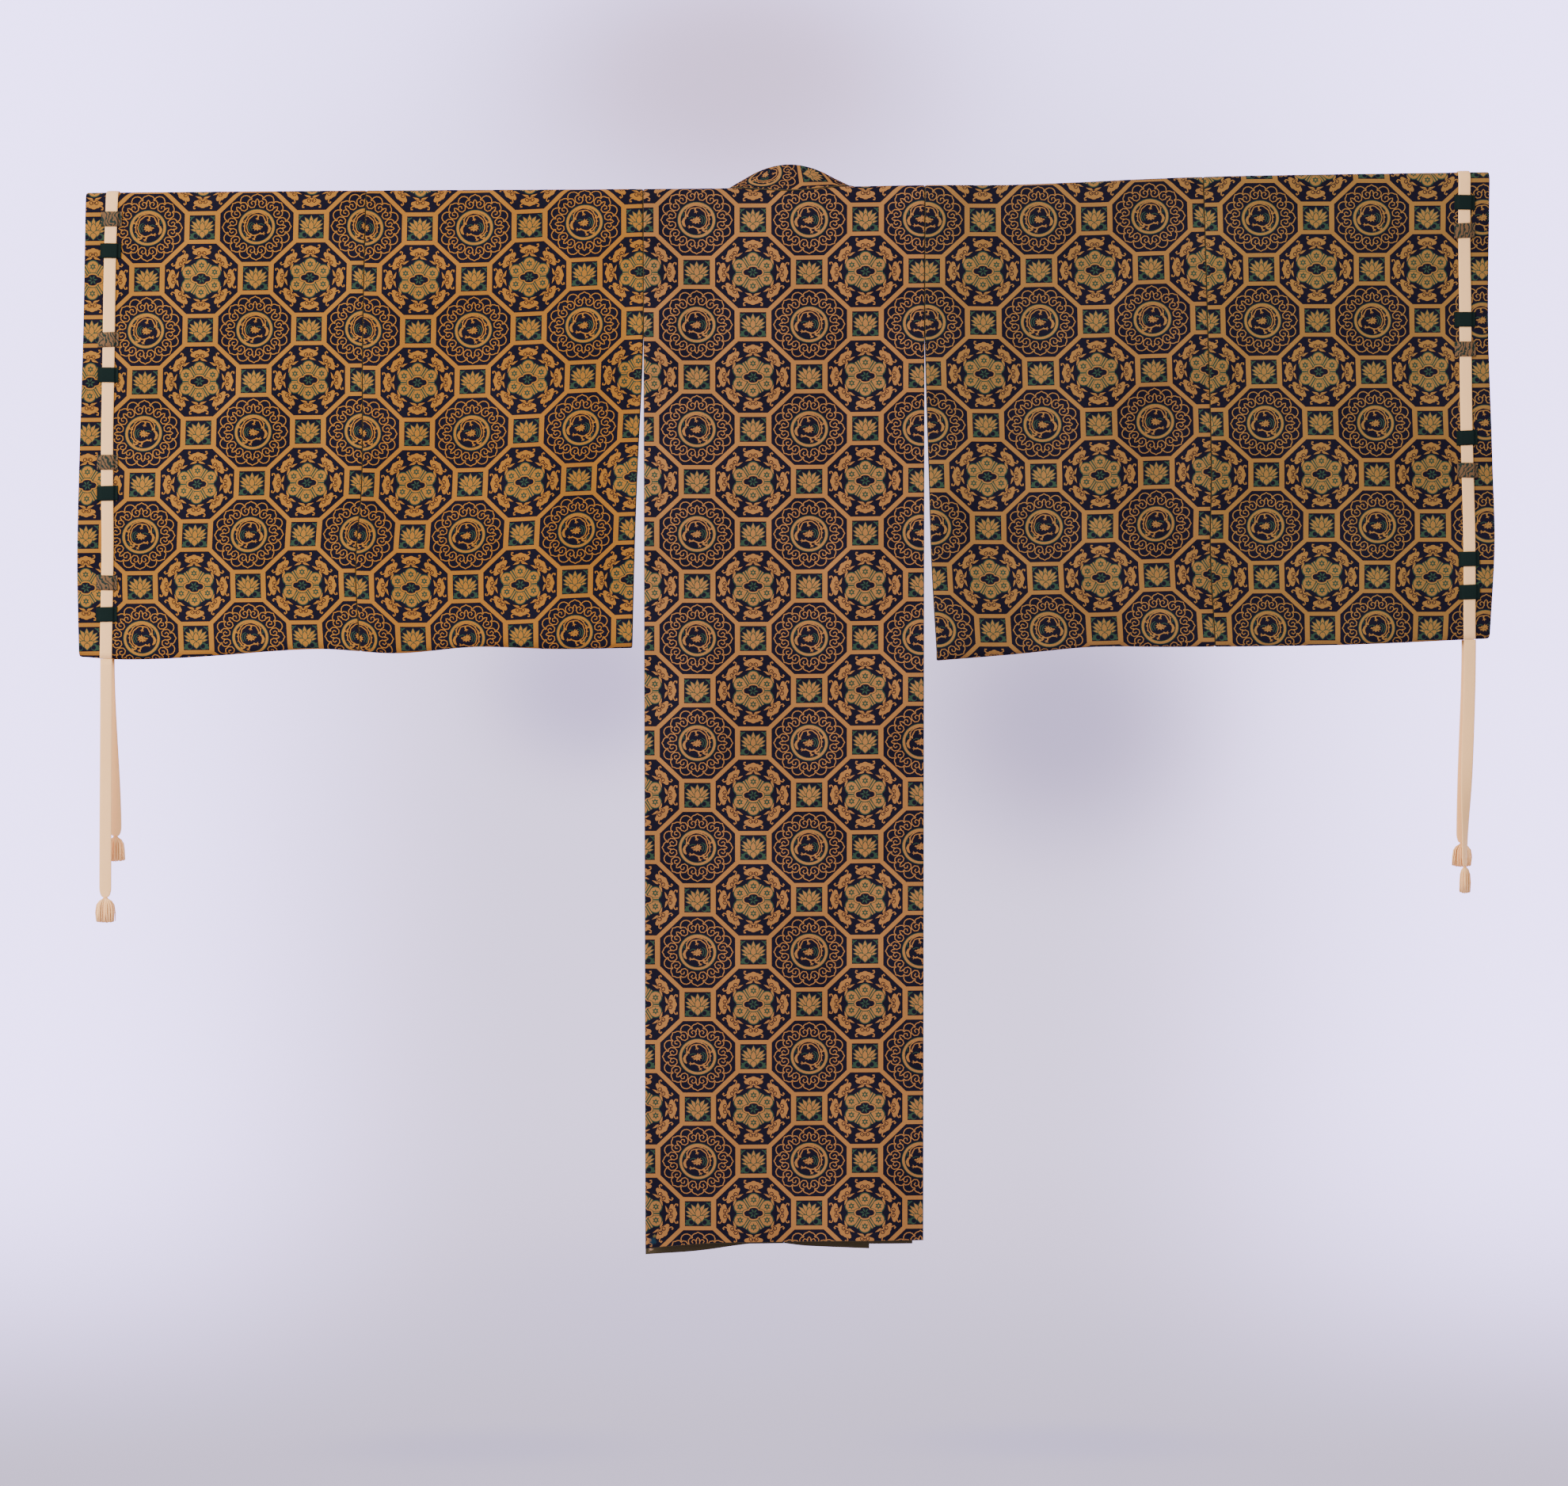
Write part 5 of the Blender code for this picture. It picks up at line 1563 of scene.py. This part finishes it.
def wood():
    """Pale dry wood with grain along the rod."""
    made, tree, shader = new_material("rod_wood_grain", 0.5)
    stretch = add_node(tree, "Mapping", {"Scale": (3.0, 60.0, 60.0), "Vector": object_place(tree)})
    grain = {"Scale": 4.0, "Detail": 6.0, "Vector": stretch.outputs["Vector"]}
    grain = add_node(tree, "TexNoise", grain).outputs["Fac"]
    look = two_tones(tree, grain, (0.130, 0.065, 0.028), (0.340, 0.200, 0.100))
    cover(tree, shader, look, grain, 0.3, 0.0003)
    return made


def build_rod():
    """The pole through both sleeves, with eased ends."""
    ease = ((0.0, 0.80), (0.0008, 0.93), (0.0022, 1.0))
    places = [(ROD_ENDS[0] + at, girth) for at, girth in ease]
    places += [(x, 1.0) for x in np.linspace(ROD_ENDS[0] + 0.02, ROD_ENDS[1] - 0.02, 60)]
    places += [(ROD_ENDS[1] - at, girth) for at, girth in ease[::-1]]
    rings = []
    for x, girth in places:
        middle = np.array([x, 0.0, float(rod_height(x))])
        rings.append([middle + ROD_RADIUS * girth * np.array([0.0, math.cos(a), math.sin(a)])
                      for a in np.arange(28) * 2 * math.pi / 28])
    return tube("wooden_rod", rings, wood(), "rod", "rod")


# Camera and light

def build_camera():
    """Straight on to the robe's back, from about six metres."""
    eye = bpy.data.cameras.new("eye")
    eye.sensor_width = 36.0
    eye.sensor_fit = "HORIZONTAL"
    eye.lens = 96.97
    camera = bpy.data.objects.new("eye", eye)
    camera.location = (0.0, -6.011, -0.7765)
    camera.rotation_euler = (math.radians(90), 0.0, 0.0)
    bpy.context.scene.collection.objects.link(camera)
    bpy.context.scene.camera = camera


Shade = namedtuple("Shade", "x z wide high colour share")
# Painted shade on the backdrop as darker ovals: at the top middle, the robe's painted shadows under each sleeve, under
# the hem, and two faint bands low down
BACKDROP = (
    Shade(-0.012, 0.155, 0.098, 0.062, (1.22, 0.95, 1.42), 0.97),
    Shade(0.066, 0.006, 0.060, 0.056, (0.56, 0.46, 0.80), 0.72),
    Shade(-0.046, 0.014, 0.042, 0.036, (0.62, 0.50, 0.98), 0.60),
    Shade(-0.020, -0.132, 0.085, 0.030, (1.10, 0.92, 1.55), 0.35),
    Shade(-0.070, -0.164, 0.062, 0.007, (0.80, 0.70, 1.10), 0.45),
    Shade(0.066, -0.163, 0.066, 0.007, (0.80, 0.70, 1.15), 0.45),
)


def build_world():
    """Soft studio light by direction: even behind the viewer, a shaded backdrop behind the robe."""
    world = bpy.data.worlds.new("studio")
    world.use_nodes = True
    bpy.context.scene.world = world
    tree = world.node_tree
    place = add_node(tree, "TexCoord", {}).outputs["Generated"]
    parts = add_node(tree, "SeparateXYZ", {"Vector": place}).outputs

    def share_of(value, low, high, most=1.0):
        return ranged(tree, value, low, high, 0.0, most, interpolation_type="SMOOTHERSTEP")

    aside = add_node(tree, "Math", {0: parts["X"]}, operation="ABSOLUTE").outputs["Value"]
    # Painted light on the backdrop: darker in the middle and towards the bottom, lighter at the sides and the top
    look = mixed(tree, (1.55, 1.32, 1.95), (3.30, 2.70, 5.30), share_of(aside, 0.05, 0.19))
    look = mixed(tree, look, (3.30, 2.75, 5.60), share_of(parts["Z"], 0.06, 0.20, 0.6))
    look = mixed(tree, look, (0.98, 0.86, 1.18), share_of(parts["Z"], -0.07, -0.18))
    for shade in BACKDROP:
        oval = {"Location": (-shade.x / shade.wide, 0.0, -shade.z / shade.high),
                "Scale": (1 / shade.wide, 0.0, 1 / shade.high), "Vector": place}
        oval = add_node(tree, "Mapping", oval).outputs["Vector"]
        away = add_node(tree, "VectorMath", {0: oval}, operation="LENGTH").outputs["Value"]
        look = mixed(tree, look, shade.colour, share_of(away, 1.0, 0.0, shade.share))
    look = mixed(tree, (1.22, 1.20, 1.24), look, share_of(parts["Y"], 0.40, 0.85))
    tree.links.new(look, tree.nodes["Background"].inputs["Color"])


def build_light():
    """One large soft lamp from the upper left, in front of the robe's back."""
    lamp = bpy.data.lights.new("key", "AREA")
    lamp.shape = "RECTANGLE"
    lamp.size, lamp.size_y = 2.4, 1.6
    lamp.energy = 380.0
    lamp.color = (1.0, 0.975, 0.95)
    key = bpy.data.objects.new("key", lamp)
    key.location = (-3.6, -3.4, 1.6)
    aim = Vector((0.0, 0.0, -0.6)) - key.location
    key.rotation_euler = aim.to_track_quat("-Z", "Y").to_euler()
    bpy.context.scene.collection.objects.link(key)


def build_floor():
    """A pale floor below the picture."""
    made, tree, shader = new_material("pale_floor", 0.8)
    speckle = add_node(tree, "TexNoise", {"Scale": 40.0}).outputs["Fac"]
    tones = two_tones(tree, speckle, (0.55, 0.52, 0.60), (0.66, 0.63, 0.72))
    tree.links.new(tones, shader.inputs["Base Color"])
    mesh = bpy.data.meshes.new("floor")
    corners = [(-2.6, -2.6, -2.1), (2.6, -2.6, -2.1), (2.6, 1.3, -2.1), (-2.6, 1.3, -2.1)]
    mesh.from_pydata(corners, [], [(0, 1, 2, 3)])
    mesh.materials.append(made)
    floor = bpy.data.objects.new("floor", mesh)
    bpy.context.scene.collection.objects.link(floor)
    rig.stage(floor)


def main():
    """Dress the robe, light it and set the view."""
    build_camera()
    tape_ends = build_tape_ends()
    tassels = build_tassels()
    for (tape, centres, end), pieces in zip(tape_ends, tassels):
        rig.cord(tape, centres[0], end.length, TAPE_WIDTH, "knot", "limp", "hanging",
                path=[tuple(point) for point in centres], with_pieces=pieces)
    build_world()
    build_light()
    build_floor()
    sleeves = build_sleeves()
    back = build_back()
    fronts = build_fronts()
    collar = build_collar()
    build_held_tapes()
    build_loops()
    build_closing()
    rod = build_rod()
    for sleeve in sleeves:
        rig.sheet(sleeve, (0.40, 1.33), "hung", [rod])
    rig.sheet(back, (0.40, 1.535), "hung", [rod])
    for front, flat in zip(fronts, ((0.1975, 1.50), (0.1215, 1.49), (0.1975, 1.49), (0.12, 1.46))):
        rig.sheet(front, flat, "hung", [back])
    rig.sheet(collar, (0.050, 0.56), "stretched", [back])


main()
last_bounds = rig.bounds()
with open("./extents.json", "w", encoding="utf-8") as report:
    json.dump({"first": [list(corner) for corner in first_bounds],
               "last": [list(corner) for corner in last_bounds]}, report)
